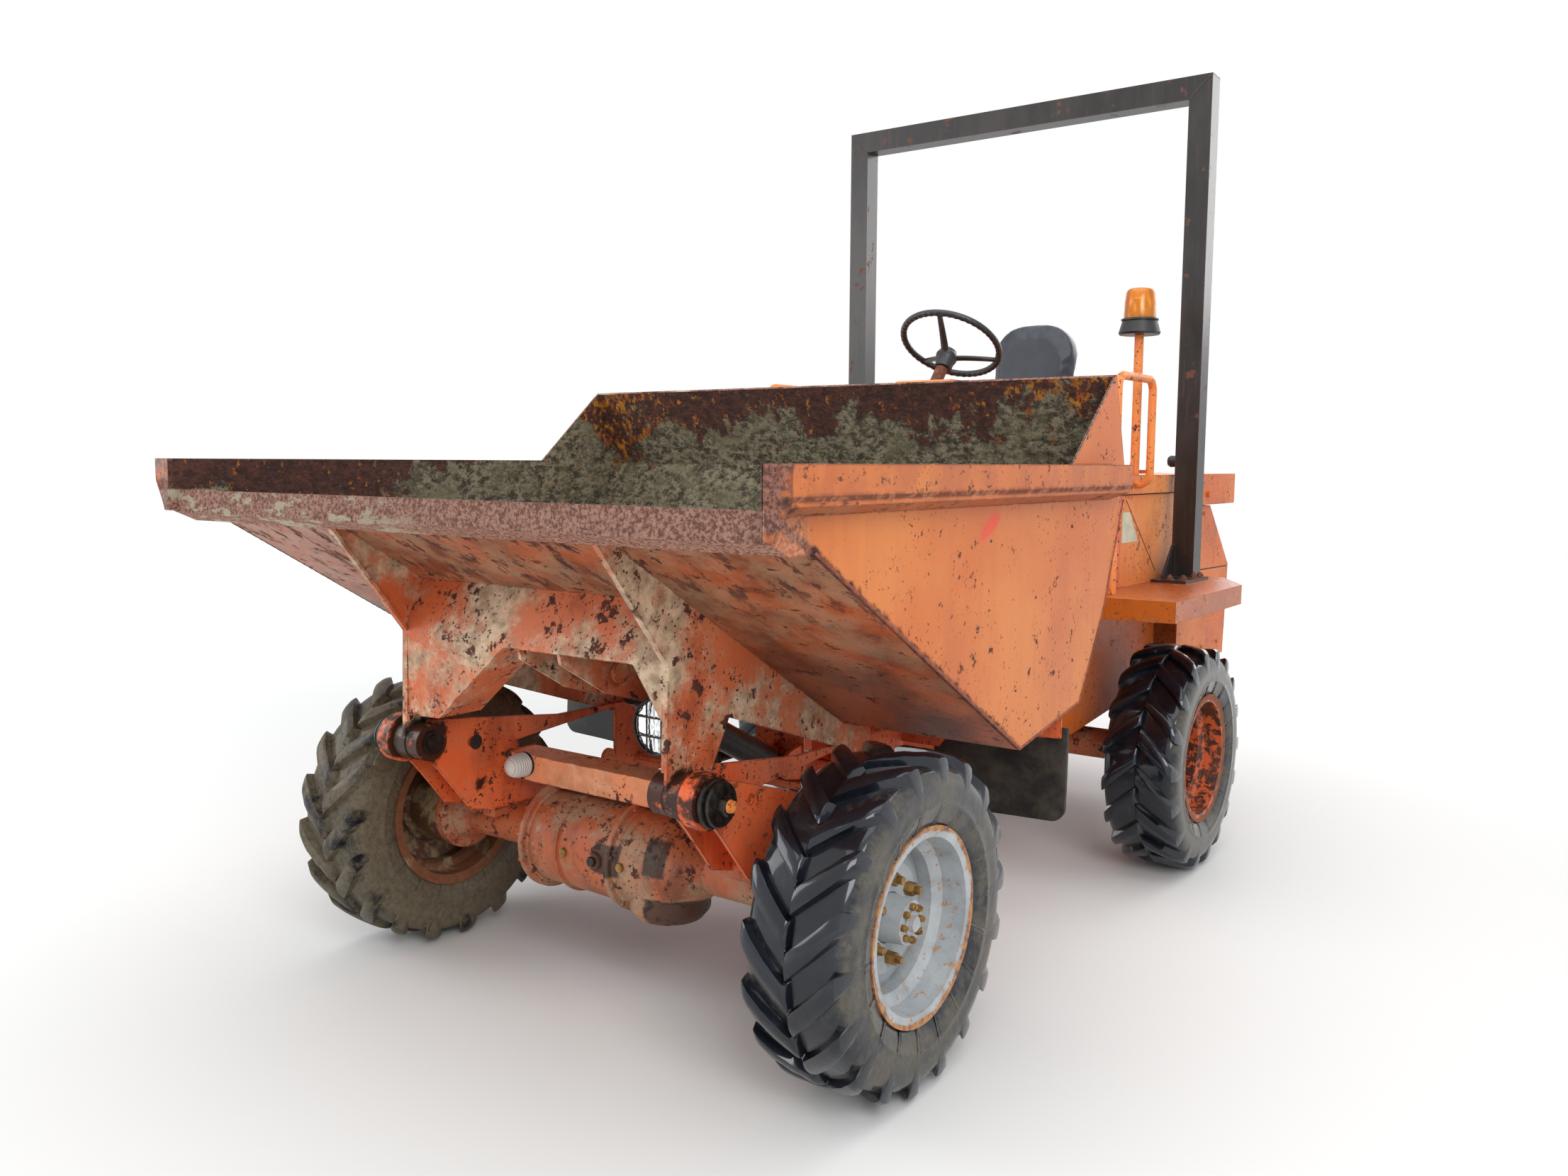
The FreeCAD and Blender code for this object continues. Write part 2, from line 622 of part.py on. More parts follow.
side_hole = bar("side_hole", "x", size("frame_half") - 5, -size("tip_y") + 165, size("tip_z") - 30, 14,
                fork_outer - size("frame_half") + 10)
pin_bore = bar("pin_bore", "x", size("frame_half") - 30, -size("tip_y"), size("tip_z"),
               size("pin_radius") + size("pin_fit"), fork_outer - size("frame_half") + 60)
one_side = cut("one_side", joined("one_side_solid", [frame_side, frame_boss, fork_side, fork_boss, fork_web]),
               [side_window, side_hole, pin_bore])
beam_top = size("beam_bottom") + size("beam_height")
beam_block = box("beam_block", (-size("frame_half"), size("frame_half")),
                 (-size("beam_front"), -size("beam_front") + size("beam_depth")), (size("beam_bottom"), beam_top))
beam_hole = box("beam_hole", (-size("frame_half") + 8, size("frame_half") - 8),
                (-size("beam_front") + 8, -size("beam_front") + size("beam_depth") - 8),
                (size("beam_bottom") + 8, beam_top - 8))
beam = cut("beam", beam_block, [beam_hole])
hinge_plates = []
for name, low in (("hinge_top", size("frame_top") - 25), ("hinge_bottom", size("frame_bottom"))):
    hinge_plates.append(plate(name, "xy", [
        (-frame_outer, -size("frame_rear") - 40),
        (frame_outer, -size("frame_rear") - 40),
        (frame_outer, -size("frame_rear")),
        (150, -size("frame_rear") + 20),
        (62, 55),
        (-62, 55),
        (-150, -size("frame_rear") + 20),
        (-frame_outer, -size("frame_rear")),
    ], low, low + 25, {4: 50, 5: 50}))
hinge_web = box("hinge_web", (-100, 100), (-size("frame_rear") - 12, -size("frame_rear")),
                (size("frame_bottom"), size("frame_top")))
ram_lugs = []
for name, low in (("ram_lug_left", size("ram_x") + 37), ("ram_lug_right", size("ram_x") - 53)):
    ram_lugs.append(plate(name, "yz", [
        (-size("frame_rear") - 12, size("ram_foot_z") + 60),
        (-size("ram_foot_y") + 10, size("ram_foot_z") + 45),
        (-size("ram_foot_y") - 42, size("ram_foot_z") + 10),
        (-size("ram_foot_y") - 42, size("ram_foot_z") - 20),
        (-size("ram_foot_y"), size("ram_foot_z") - 45),
        (-size("frame_rear") - 12, size("ram_foot_z") - 60),
    ], low, low + 16))
ram_pin = bar("ram_pin", "x", size("ram_x") - 60, -size("ram_foot_y"), size("ram_foot_z"), foot_pin, 120)
steer_foot_x, steer_foot_y = 145, 520
steer_shelf = box("steer_shelf", (-size("frame_half"), -steer_foot_x + 30),
                  (-steer_foot_y - 35, -steer_foot_y + 35), (size("swing_z") - 70, size("swing_z") - 55))
steer_pin = bar("steer_pin", "z", -steer_foot_x, -steer_foot_y, size("swing_z") - 62, 14, 76)
steer_seat = bar("steer_seat", "z", -steer_foot_x, -steer_foot_y, size("swing_z") - 56, 19,
                 16 - size("seat_gap"))
king_bore = bar("king_bore", "z", 0, 0, size("frame_bottom") - 10, 30 + size("pin_fit"),
                size("frame_top") - size("frame_bottom") + 20)
frame_parts = [one_side, mirrored("one_side_far", one_side), beam] + hinge_plates + [
    hinge_web, ram_pin, steer_shelf, steer_pin, steer_seat] + ram_lugs
front_frame = cut("front_frame", joined("front_frame_solid", frame_parts), [king_bore])
node("front_frame", front_frame)

# Front axle: a cast casing of stepped drums between tubes, with flanges for the wheels

flange_at = size("wheel_centre") - 150


def axle_casing(name, drums):
    """Half outline of a casing from drum ends and radii, turned about the axle's line."""
    points = [(-flange_at, 0), (-flange_at, 118), (-flange_at + 26, 118), (-flange_at + 40, 84),
              (-flange_at + 90, size("axle_tube"))]
    points += drums
    points += [(flange_at - 90, size("axle_tube")), (flange_at - 40, 84), (flange_at - 26, 118),
               (flange_at, 118), (flange_at, 0)]
    return turned(name, points)


# columns: place along the axle, radius
front_drums = [(-345, size("axle_tube")), (-330, 108), (-300, 132), (-292, 146), (-272, 146), (-266, 137),
               (40, 141), (48, 148), (78, 148), (86, 141), (230, 130), (300, 84), (330, size("axle_tube"))]
casing = axle_casing("front_casing", front_drums)
bowl = turned("front_bowl", [(-152, 0), (-152, 96), (-128, 116), (-60, 118), (-60, 0)], {2: 20}, "z")
locate(bowl, 165, 0, 0)
axle_pad = box("axle_pad", (size("frame_half") - 10, fork_outer + 12), (-100, 100), (40, size("axle_tube") + 5))
front_axle = joined("front_axle", [casing, bowl, axle_pad, mirrored("axle_pad_far", axle_pad)])
node("front_axle", front_axle, 0, -size("front_axle"), size("axle_height"))

rear_drums = [(-250, size("axle_tube")), (-200, 96), (-150, 140), (-60, 150), (60, 150), (150, 140), (200, 96),
              (250, size("axle_tube"))]
rear_casing = axle_casing("rear_casing", rear_drums)
rear_pad = box("rear_pad", (size("rail_half") - 70, size("rail_half") - 5), (-80, 80),
               (40, size("rail_bottom") - size("axle_height")))
rear_axle = joined("rear_axle", [rear_casing, rear_pad, mirrored("rear_pad_far", rear_pad)])
node("rear_axle", rear_axle, 0, size("rear_axle"), size("axle_height"))

# Lamps on the front frame

marker = turned("marker", [(0, 0), (0, 38), (-12, 38), (-20, 34), (-62, 26), (-92, 12), (-96, 0)], {4: 30}, "y")
locate(marker, size("frame_half") - 74, -size("beam_front"), beam_top - 29)
node("marker_lamps", pair("marker_lamps", marker))
lamp_y, lamp_z, lamp_x = size("beam_front") + 82, beam_top + 178, size("frame_half") - 247
lamp_bowl = turned("lamp_bowl", [(0, 0), (0, 77), (14, 82), (22, 76), (70, 52), (88, 24), (88, 0)], None, "y")
lamp_stalk = plate("lamp_stalk", "xz", [(-18, beam_top - lamp_z), (18, beam_top - lamp_z), (18, -30), (-18, -30)],
                   82, 90)
headlamp = joined("headlamp", [lamp_bowl, lamp_stalk])
node("headlamp", headlamp, lamp_x, -lamp_y, lamp_z)
guard_ring = doc.addObject("Part::Torus", "guard_ring")
guard_ring.Radius1, guard_ring.Radius2 = 76, 3
guard_ring.Placement = FreeCAD.Placement(FreeCAD.Vector(0, -3.3, 0), FreeCAD.Rotation(AXES["z"], AXES["y"]))
guard_bars = []
for step in (-26, 26):
    guard_bars.append(bar("guard_up_%d" % (step + 30), "z", step, -7, -71, 2.5, 142))
    guard_bars.append(bar("guard_side_%d" % (step + 30), "x", -71, -7, step, 2.5, 142))
node("headlamp_guard", joined("headlamp_guard", [guard_ring] + guard_bars), lamp_x, -lamp_y, lamp_z)

# Rubber flaps behind the front wheels, each hung from a steel arm at the rear of the frame
flap_out = size("wheel_centre") + 158
flap_top = size("frame_top") + 60
flap_arm = plate("flap_arm", "xz", [
    (frame_outer, size("frame_top") - 50),
    (frame_outer + 130, size("frame_top") - 50),
    (frame_outer + 170, flap_top - 60),
    (flap_out - 20, flap_top - 30),
    (flap_out - 20, flap_top + 55),
    (frame_outer, flap_top + 55),
], -size("frame_rear") - 8, -size("frame_rear"))
node("flap_bars", pair("flap_bars", flap_arm))
flap = plate("flap", "xz", [
    (frame_outer + 110, flap_top),
    (flap_out, flap_top),
    (flap_out, flap_top - 278),
    (frame_outer + 110, flap_top - 300),
], -size("frame_rear") + size("seat_gap"), -size("frame_rear") + 9, {2: 45})
node("wheel_flaps", pair("wheel_flaps", flap))


# Articulation: king pin block with its trunnion, on which the rear frame swings

block = box("pivot_block", (-62, 62), (-58, 58), (size("frame_bottom") + 29, size("frame_top") - 29))
king_pin = bar("king_pin", "z", 0, 0, size("frame_bottom") - 12, 30, size("frame_top") - size("frame_bottom") + 24)
king_head = bar("king_head", "z", 0, 0, size("frame_top") + 0.5, 44, 12)
trunnion = bar("trunnion", "y", 0, 50, size("swing_z"), size("trunnion_radius"), 280)
trunnion_nut = bar("trunnion_nut", "y", 0, 305, size("swing_z"), 66, 25)
steer_arm_x = 160
steer_arm = plate("steer_arm", "xy", [(-62, -45), (-62, 45), (-steer_arm_x, 30), (-steer_arm_x - 34, 0),
                                      (-steer_arm_x, -30)], size("swing_z"), size("swing_z") + 16)
steer_cap = bar("steer_cap", "z", -steer_arm_x, 0, size("swing_z") + 16, 15, 12)
node("centre_pivot", joined("centre_pivot", [block, king_pin, king_head, trunnion, trunnion_nut, steer_arm,
                                             steer_cap]))

# Steering ram, between the front frame's shelf and the pivot block's arm
steer_lean = math.degrees(math.atan2(steer_foot_x - steer_arm_x, steer_foot_y))
steer_length = math.hypot(steer_foot_x - steer_arm_x, steer_foot_y)
steer_tube = bar("steer_tube", "y", 0, 20, 0, 28, 310)
steer_eye = bar("steer_eye", "z", 0, 0, -20, 30, 40)
steer_bore = bar("steer_bore", "y", 0, 60, 0, 20, 250)
steer_gland = bar("steer_gland", "y", 0, 300, 0, 14 + size("pin_fit"), 60)
steer_hole = bar("steer_hole", "z", 0, 0, -30, 14 + size("pin_fit"), 60)
steer_barrel = cut("steer_barrel", joined("steer_barrel_solid", [steer_tube, steer_eye]),
                   [steer_bore, steer_gland, steer_hole])
steer_rod_bar = bar("steer_rod_bar", "y", 0, 165, 0, 14, steer_length - 185)
steer_rod_eye = bar("steer_rod_eye", "z", 0, steer_length, -20, 28, 20 - size("seat_gap"))
steer_rod_neck = box("steer_rod_neck", (-14, 14), (steer_length - 45, steer_length - 10), (-14, -1))
steer_rod = joined("steer_rod", [steer_rod_bar, steer_rod_eye, steer_rod_neck])
for label, piece in (("steer_ram_barrel", steer_barrel), ("steer_ram_rod", steer_rod)):
    piece.Placement.Rotation = FreeCAD.Rotation(AXES["z"], -steer_lean)
    node(label, piece, -steer_foot_x, -steer_foot_y, size("swing_z") - 20)


# Rear frame: bearing tube, front plate and two channel rails

rail_top_z = size("rail_bottom") + size("rail_section")
bearing = bar("bearing", "y", 0, 112, size("swing_z"), size("trunnion_radius") + 28, 186)
front_plate = box("front_plate", (-size("rail_half"), size("rail_half")), (125, 140), (470, 760))
rail_inner = size("rail_half") - 75
side_rail = plate("side_rail", "xz", [
    (rail_inner, size("rail_bottom")),
    (size("rail_half"), size("rail_bottom")),
    (size("rail_half"), size("rail_bottom") + 10),
    (rail_inner + 10, size("rail_bottom") + 10),
    (rail_inner + 10, rail_top_z - 10),
    (size("rail_half"), rail_top_z - 10),
    (size("rail_half"), rail_top_z),
    (rail_inner, rail_top_z),
], 140, hull_rear - 130)
rear_cross = box("rear_cross", (-rail_inner, rail_inner), (hull_rear - 142, hull_rear - 130),
                 (size("rail_bottom"), rail_top_z))
mid_cross = box("mid_cross", (-rail_inner, rail_inner), (700, 760), (size("rail_bottom") + 30, rail_top_z - 10))
rests = []
for name, place in (("engine_rest_fore", 980), ("engine_rest_aft", hull_rear - 739)):
    rests.append(box(name, (-rail_inner - 5, rail_inner + 5), (place, place + 60), (rail_top_z - 40, rail_top_z)))
outrigger = []
for name, place in (("outrigger_fore", 570), ("outrigger_aft", 1480)):
    outrigger.append(box(name, (rail_inner, board_inner - 6 - size("seat_gap")), (place, place + 12),
                         (size("rail_bottom") + 75, rail_top_z)))
rests += outrigger + [mirrored(piece.Name + "_far", piece) for piece in outrigger]
bearing_bore = bar("bearing_bore", "y", 0, 100, size("swing_z"), size("trunnion_radius") + size("pin_fit"), 210)
rear_frame = cut("rear_frame", joined("rear_frame_solid", [
    bearing, front_plate, side_rail, mirrored("side_rail_far", side_rail), rear_cross, mid_cross] + rests), [bearing_bore])
node("rear_frame", rear_frame)

# Engine and gearbox: one plain block on the rails
node("engine_block", box("engine_block", (-270, 270), (930, hull_rear - 599), (rail_top_z + size("seat_gap"), 1230)))

# Running boards with skirts, foot deck, bulkhead and side sheets under them

deck_under = size("deck_top") - size("deck_sheet")
skirt_bottom = size("deck_top") - size("deck_skirt")
board_corners = [(board_inner, 0), (size("deck_half") - 242, 0), (size("deck_half"), 22),
                 (size("deck_half"), size("board_length") - 282),
                 (size("deck_half") - 154, size("board_length")), (board_inner, size("board_length"))]
board_inset = [(board_inner - 100, 8), (size("deck_half") - 243, 8), (size("deck_half") - 8, 30),
               (size("deck_half") - 8, size("board_length") - 284),
               (size("deck_half") - 158, size("board_length") + 123), (board_inner - 100, size("board_length") + 123)]
board_block = plate("board_block", "xy", [(x, size("deck_front") + y) for x, y in board_corners],
                    skirt_bottom, size("deck_top"))
board_hollow = plate("board_hollow", "xy", [(x, size("deck_front") + y) for x, y in board_inset],
                     skirt_bottom - 10, deck_under)
board = cut("board", board_block, [board_hollow])
node("running_boards", pair("running_boards", board))
foot_deck = box("foot_deck", (-board_inner, board_inner), (size("deck_front"), size("seat_box_front")), (deck_under, size("deck_top")))
node("foot_deck", foot_deck)
bulkhead = box("bulkhead", (-board_inner, board_inner), (size("deck_front"), size("deck_front") + 6), (560, deck_under))
bulkhead_cut = box("bulkhead_cut", (-size("rail_half") - 6, size("rail_half") + 6),
                   (size("deck_front") - 5, size("deck_front") + 15), (540, rail_top_z + 4))
node("front_bulkhead", cut("front_bulkhead", bulkhead, [bulkhead_cut]))
under_side = plate("under_side", "yz", [
    (size("deck_front") + 6, deck_under), (size("deck_front") + 6, 560), (size("deck_front") + 203, 540),
    (board_rear - 14, 620), (board_rear - 14, deck_under)], board_inner - 6, board_inner)
node("under_sides", pair("under_sides", under_side))

# Seat box: front, sides and top sheet, open below and behind

body_in = size("body_half") - size("body_sheet")
seat_block = box("seat_block", (-size("body_half"), size("body_half")), (size("seat_box_front"), bonnet_front),
                 (size("deck_top"), size("seat_box_top")))
seat_hollow = box("seat_hollow", (-body_in, body_in),
                  (size("seat_box_front") + size("body_sheet"), bonnet_front + 10),
                  (size("deck_top") - 10, size("seat_box_top") - size("body_sheet")))
node("seat_box", cut("seat_box", seat_block, [seat_hollow]))
top_rail = box("top_rail", (size("body_half"), size("body_half") + 14), (size("seat_box_front") + 40,
               bonnet_front - 6), (size("seat_box_top") - 72, size("seat_box_top")))
node("top_rails", pair("top_rails", top_rail))

# Rear hull: sides and sloping back under the bonnet, with a cast weight across the tail

hull_top = size("seat_box_top") - size("bonnet_skirt")
hull_outer = [(bonnet_front, hull_top), (hull_rear - 272, hull_top), (hull_rear + 31, size("deck_top") + 3),
              (hull_rear, size("hull_bottom")), (board_rear, size("hull_bottom")),
              (board_rear, size("deck_top")), (bonnet_front, size("deck_top"))]
hull_block = plate("hull_block", "yz", hull_outer, -size("body_half"), size("body_half"))
hull_inner = [(bonnet_front - 20, hull_top + 20), (hull_rear - 284, hull_top + 20), (hull_rear - 280, hull_top - 2),
              (hull_rear + 22, size("deck_top")), (hull_rear - 7, size("hull_bottom") - 20),
              (board_rear - 26, size("hull_bottom") - 20), (board_rear - 26, size("deck_top") + 20),
              (bonnet_front - 20, size("deck_top") + 20)]
hull_hollow = plate("hull_hollow", "yz", hull_inner, -body_in, body_in)
node("rear_hull", cut("rear_hull", hull_block, [hull_hollow]))
weight = box("weight", (-body_in + size("seat_gap"), body_in - size("seat_gap")), (hull_rear - 130, hull_rear - 14),
             (size("rail_bottom") - 10, 1000))
node("tail_weight", weight)
hitch_plates = []
for name, low in (("hitch_low", 560), ("hitch_high", 640)):
    hitch_plates.append(box(name, (-60, 60), (hull_rear - 14, hull_rear + 30), (low, low + 16)))
hitch_back = box("hitch_back", (-80, 80), (hull_rear - 14, hull_rear - 8), (540, 670))
hitch_bore = bar("hitch_bore", "z", 0, hull_rear + 6, 540, 12.5, 140)
node("tow_hitch", cut("tow_hitch", joined("hitch_solid", hitch_plates + [hitch_back]), [hitch_bore]))

# Bonnet: a shallow lid, open below

bonnet_block = box("bonnet_block", (-size("body_half") - 14, size("body_half") + 14),
                   (bonnet_front + 5, size("rear_reach")), (hull_top + 5, size("seat_box_top")))
bonnet_hollow = box("bonnet_hollow", (-size("body_half") - 8, size("body_half") + 8),
                    (bonnet_front + 11, size("rear_reach") - 6),
                    (hull_top - 10, size("seat_box_top") - size("body_sheet")))
bonnet_catch = box("bonnet_catch", (size("body_half") + 14, size("body_half") + 26),
                   (bonnet_front + 60, bonnet_front + 100), (hull_top + 40, hull_top + 60))
hinge_z = size("seat_box_top") + 8
knuckles, fixed_knuckles = [], []
for name, place in (("left", 420), ("right", -420)):
    knuckles.append(bar("knuckle_" + name, "x", place - 14.7, bonnet_front, hinge_z, 8, 29.4))
    knuckles.append(box("leaf_" + name, (place - 14.7, place + 14.7), (bonnet_front,
                    bonnet_front + 45), (size("seat_box_top"), size("seat_box_top") + 3)))
    fixed_knuckles.append(box("fixed_leaf_" + name, (place - 40, place + 40), (bonnet_front - 50,
                          bonnet_front - 9), (size("seat_box_top"), size("seat_box_top") + 3)))
    fixed_knuckles.append(bar("hinge_pin_" + name, "x", place - 40, bonnet_front, hinge_z, 4, 80))
    for end, low, high in (("near", 15.3, 40), ("far", -40, -15.3)):
        fixed_knuckles.append(bar("fixed_%s_%s" % (name, end), "x", place + low, bonnet_front, hinge_z, 8,
                                  high - low))
        fixed_knuckles.append(box("web_%s_%s" % (name, end), (place + low, place + high),
                                  (bonnet_front - 12, bonnet_front - 4),
                                  (size("seat_box_top"), hinge_z + 4)))
hinge_bore = bar("hinge_bore", "x", -500, bonnet_front, hinge_z, 4 + size("pin_fit"), 1000)
bonnet_shell = cut("bonnet_shell", bonnet_block, [bonnet_hollow])
node("bonnet", cut("bonnet", joined("bonnet_solid", [bonnet_shell, bonnet_catch] + knuckles), [hinge_bore]))
node("bonnet_hinges", joined("bonnet_hinges", fixed_knuckles))

# Roll bar: mitred square tube with base plates and front gussets

rops_under = size("deck_top") + 12
rops_block = box("rops_block", (-rops_half, rops_half),
                 (size("rops_front"), size("rops_front") + size("rops_tube")), (rops_under, size("rops_top")))
rops_inner = rops_half - size("rops_tube")
rops_gate = box("rops_gate", (-rops_inner, rops_inner), (size("rops_front") - 10, size("rops_front") + size("rops_tube")
                + 10), (size("deck_top"), size("rops_top") - size("rops_tube")))
rops_core = box("rops_core", (-rops_half + size("rops_wall"), rops_half - size("rops_wall")),
                (size("rops_front") + size("rops_wall"), size("rops_front") + size("rops_tube") - size("rops_wall")),
                (rops_under + 6, size("rops_top") - size("rops_wall")))
rops_rest = box("rops_rest", (-rops_inner - size("rops_wall"), rops_inner + size("rops_wall")),
                (size("rops_front"), size("rops_front") + size("rops_tube")),
                (rops_under, size("rops_top") - size("rops_tube") + size("rops_wall")))
rops_hollow = cut("rops_hollow", rops_core, [rops_rest])
rops_arch = cut("rops_arch", cut("rops_solid", rops_block, [rops_gate]), [rops_hollow])
rops_foot = box("rops_foot", (rops_inner - 22, rops_half + 29),
                (size("rops_front") - 175, size("rops_front") + size("rops_tube") + 18), (size("deck_top"), rops_under))
rops_gusset = plate("rops_gusset", "yz", [
    (size("rops_front"), rops_under), (size("rops_front") - 130, rops_under),
    (size("rops_front") - 130, rops_under + 14), (size("rops_front") - 20, rops_under + 130),
    (size("rops_front"), rops_under + 130)], rops_inner + 4, rops_inner + 14)
rops_parts = [rops_arch, rops_foot, mirrored("rops_foot_far", rops_foot), rops_gusset,
              mirrored("rops_gusset_far", rops_gusset)]
node("roll_bar", joined("roll_bar", rops_parts))
post_lamp = turned("post_lamp", [(0, 0), (0, 22), (-26, 24), (-36, 18), (-36, 0)], None, "x")
node("post_lamp", post_lamp, rops_inner, size("rops_front") + 30, 1568)

# Seat: pan, cushion and back

seat_half = size("seat_width") / 2
node("seat_pan", box("seat_pan", (-seat_half + 10, seat_half - 10), (size("seat_front") + 25,
     size("seat_front") + 525), (size("seat_box_top"), pan_top)))
cushion = plate("cushion", "xy", [
    (-seat_half, size("seat_front")), (seat_half, size("seat_front")),
    (seat_half, size("seat_front") + 450), (-seat_half, size("seat_front") + 450),
], pan_top + size("seat_gap"), pan_top + size("cushion_height"), {0: 60, 1: 60, 2: 30, 3: 30})
node("seat_cushion", cushion)
back_y, back_z = size("seat_front") + 455, pan_top + 50
back_half = size("back_width") / 2
back_pad = plate("back_pad", "xz", [
    (-back_half, 0), (back_half, 0), (back_half, size("back_height")), (-back_half, size("back_height")),
], 0, size("back_thick"), {0: 50, 1: 50, 2: 150, 3: 150})
back_pad.Placement.Rotation = FreeCAD.Rotation(AXES["x"], -1)
back_pad.setExpression("Placement.Rotation.Angle", (-size("back_lean")).words)
node("seat_back", back_pad, 0, back_y, back_z)


def behind_back(up, off):
    """Point behind the leaning back: a distance up its rear face and a distance off that face."""
    lean_angle = math.radians(size("back_lean").value)
    deep = size("back_thick") + off
    return (back_y + deep * math.cos(lean_angle) + up * math.sin(lean_angle),
            back_z - deep * math.sin(lean_angle) + up * math.cos(lean_angle))


stay_sheet = 14
seat_stay = plate("seat_stay", "yz", [
    (back_y + 30, pan_top), (back_y + 105, pan_top),
    behind_back(250, stay_sheet), behind_back(250, size("seat_gap")), behind_back(0, size("seat_gap")),
    (behind_back(0, size("seat_gap"))[0] - 3, pan_top + stay_sheet), (back_y + 30, pan_top + stay_sheet)], -90, 90)
node("seat_stay", seat_stay)

# Controls: console, column and steering wheel

console_block = plate("console_block", "yz", [
    (500, size("deck_top")), (700, size("deck_top")), (720, 1500), (735, 1840), (715, 1875), (585, 1875),
    (560, 1840)], -118, 118, {4: 15, 5: 30})
console_bore = turned("console_bore", [(-190, 0), (-190, 24.3), (-40, 24.3), (-40, 0)], None, "z")
console_bore.Placement.Rotation = FreeCAD.Rotation(AXES["x"], -1)
console_bore.setExpression("Placement.Rotation.Angle", (-size("helm_tilt")).words)
locate(console_bore, 0, size("helm_y"), size("helm_z"))
node("console", cut("console", console_block, [console_bore]))
column = turned("column", [(-190, 0), (-190, 24), (-58.3, 24), (-58.3, 0)], None, "z")
column.Placement.Rotation = FreeCAD.Rotation(AXES["x"], -1)
column.setExpression("Placement.Rotation.Angle", (-size("helm_tilt")).words)
node("steering_column", column, 0, size("helm_y"), size("helm_z"))
helm_ring = doc.addObject("Part::Torus", "helm_ring")
bind(helm_ring, "Radius1", size("helm_radius"))
helm_ring.Radius2 = 13
helm_ring.Placement.Base.z = 75
helm_hub = turned("helm_hub", [(-58, 0), (-58, 34), (-20, 38), (4, 30), (4, 0)], None, "z")
spokes = []
for turn in (90, 210, 330):
    spoke = bar("spoke_%d" % turn, "x", 0, 0, 0, 9, size("helm_radius") + 10)
    rise = math.degrees(math.atan2(75 + 10, size("helm_radius").value))
    spoke.Placement = FreeCAD.Placement(FreeCAD.Vector(0, 0, -10), FreeCAD.Rotation(AXES["z"], turn)
                                        * FreeCAD.Rotation(AXES["y"], 90 - rise))
    spokes.append(spoke)
helm = joined("helm", [helm_ring, helm_hub] + spokes)
helm.Placement.Rotation = FreeCAD.Rotation(AXES["x"], -1)
helm.setExpression("Placement.Rotation.Angle", (-size("helm_tilt")).words)
node("steering_wheel", helm, 0, size("helm_y"), size("helm_z"))

# Warning beacon on its pole

node("beacon_pole", bar("beacon_pole", "z", beacon_x, size("beacon_y"), size("seat_box_top"), 17,
                        size("pole_height")))
beacon_foot = size("seat_box_top") + size("pole_height")
beacon_base = turned("beacon_base", [(0, 0), (0, 74), (8, 78), (56, 64), (56, 0)], None, "z")
node("beacon_base", beacon_base, beacon_x, size("beacon_y"), beacon_foot)
beacon_dome = turned("beacon_dome", [(0, 0), (0, 62), (112, 56), (121, 48), (121, 0)], {3: 6}, "z")
node("beacon_dome", beacon_dome, beacon_x, size("beacon_y"), beacon_foot + 56)

# Grab rails: bent tube from the running board to the seat box rail

grab_x, grab_top, grab_foot = size("body_half") + 70, size("deck_top") + 783, size("seat_box_top") - 36
grab_shape = tube_along([(grab_x, 630, size("deck_top")), (grab_x, 630, grab_top), (grab_x, 980, grab_top),
                         (grab_x, 980, grab_foot), (size("body_half") + 14, 980, grab_foot)], 15, 45)
grab = shaped("grab", grab_shape)
grab_far = mirrored("grab_far", grab)
grab_pair = doc.addObject("Part::Compound", "grab_pair")
grab_pair.Links = [grab, grab_far]
node("grab_rails", grab_pair)


# Wheels: tyre, dished rim and hub, one set at each corner

tread_half = size("tread_width") / 2
section_half = size("tyre_section") / 2
rim_half = size("rim_width") / 2
bead = size("rim_radius") - 20


# carcass: beads, bulged sidewalls and the flat between the lugs
groove = size("tyre_radius") - size("lug_height")
carcass_half = [(rim_half - 16, bead), (rim_half - 14, size("rim_radius") + 4),
                (section_half, size("rim_radius") + 50), (section_half, size("tyre_radius") - 96),
                (section_half - 12, size("tyre_radius") - 60), (section_half - 28, groove - 5), (40, groove)]
carcass = turned("carcass", carcass_half + [(-x, r) for x, r in reversed(carcass_half)])

# ring that bounds the lugs: crowned on top, its shoulders running down onto the sidewalls
lug_ring = turned("lug_ring", [
    (2, groove - 8), (2, size("tyre_radius")), (40, size("tyre_radius")), (tread_half - 6, size("tyre_radius") - 8),
    (tread_half + 4, size("tyre_radius") - 40), (section_half, size("tyre_radius") - 90),
    (section_half - 18, size("tyre_radius") - 90), (section_half - 34, groove - 14)])
lug_mid = section_half / 2
lug_plan = plate("lug_plan", "xy", [
    (0, -(size("lug_sweep") + size("lug_width")) / 2),
    (lug_mid, -size("lug_width") / 2 - 8),
    (section_half + 5, (size("lug_sweep") - size("lug_width")) / 2),
    (section_half + 5, (size("lug_sweep") + size("lug_width")) / 2),
    (lug_mid, size("lug_width") / 2 - 2),
    (0, -(size("lug_sweep") - size("lug_width")) / 2),
], size("tyre_radius") - 110, size("tyre_radius") + 10)
lug = doc.addObject("Part::Common", "lug")
lug.Base, lug.Tool = lug_ring, lug_plan
lug_far = mirrored("lug_far", lug)
lug_step = 360 / size("lug_count").value
lugs = []
for half_name, piece, offset in (("near", lug, 0), ("far", lug_far, 0.5)):
    for i in range(int(size("lug_count").value)):
        copy = doc.addObject("Part::Compound", "lug_%s_%d" % (half_name, i))
        copy.Links = [piece]
        copy.Placement.Rotation = FreeCAD.Rotation(AXES["x"], (i + offset) * lug_step)
        lugs.append(copy)
tyre_master = joined("tyre_master", [carcass] + lugs)
tyre_master.Refine = False


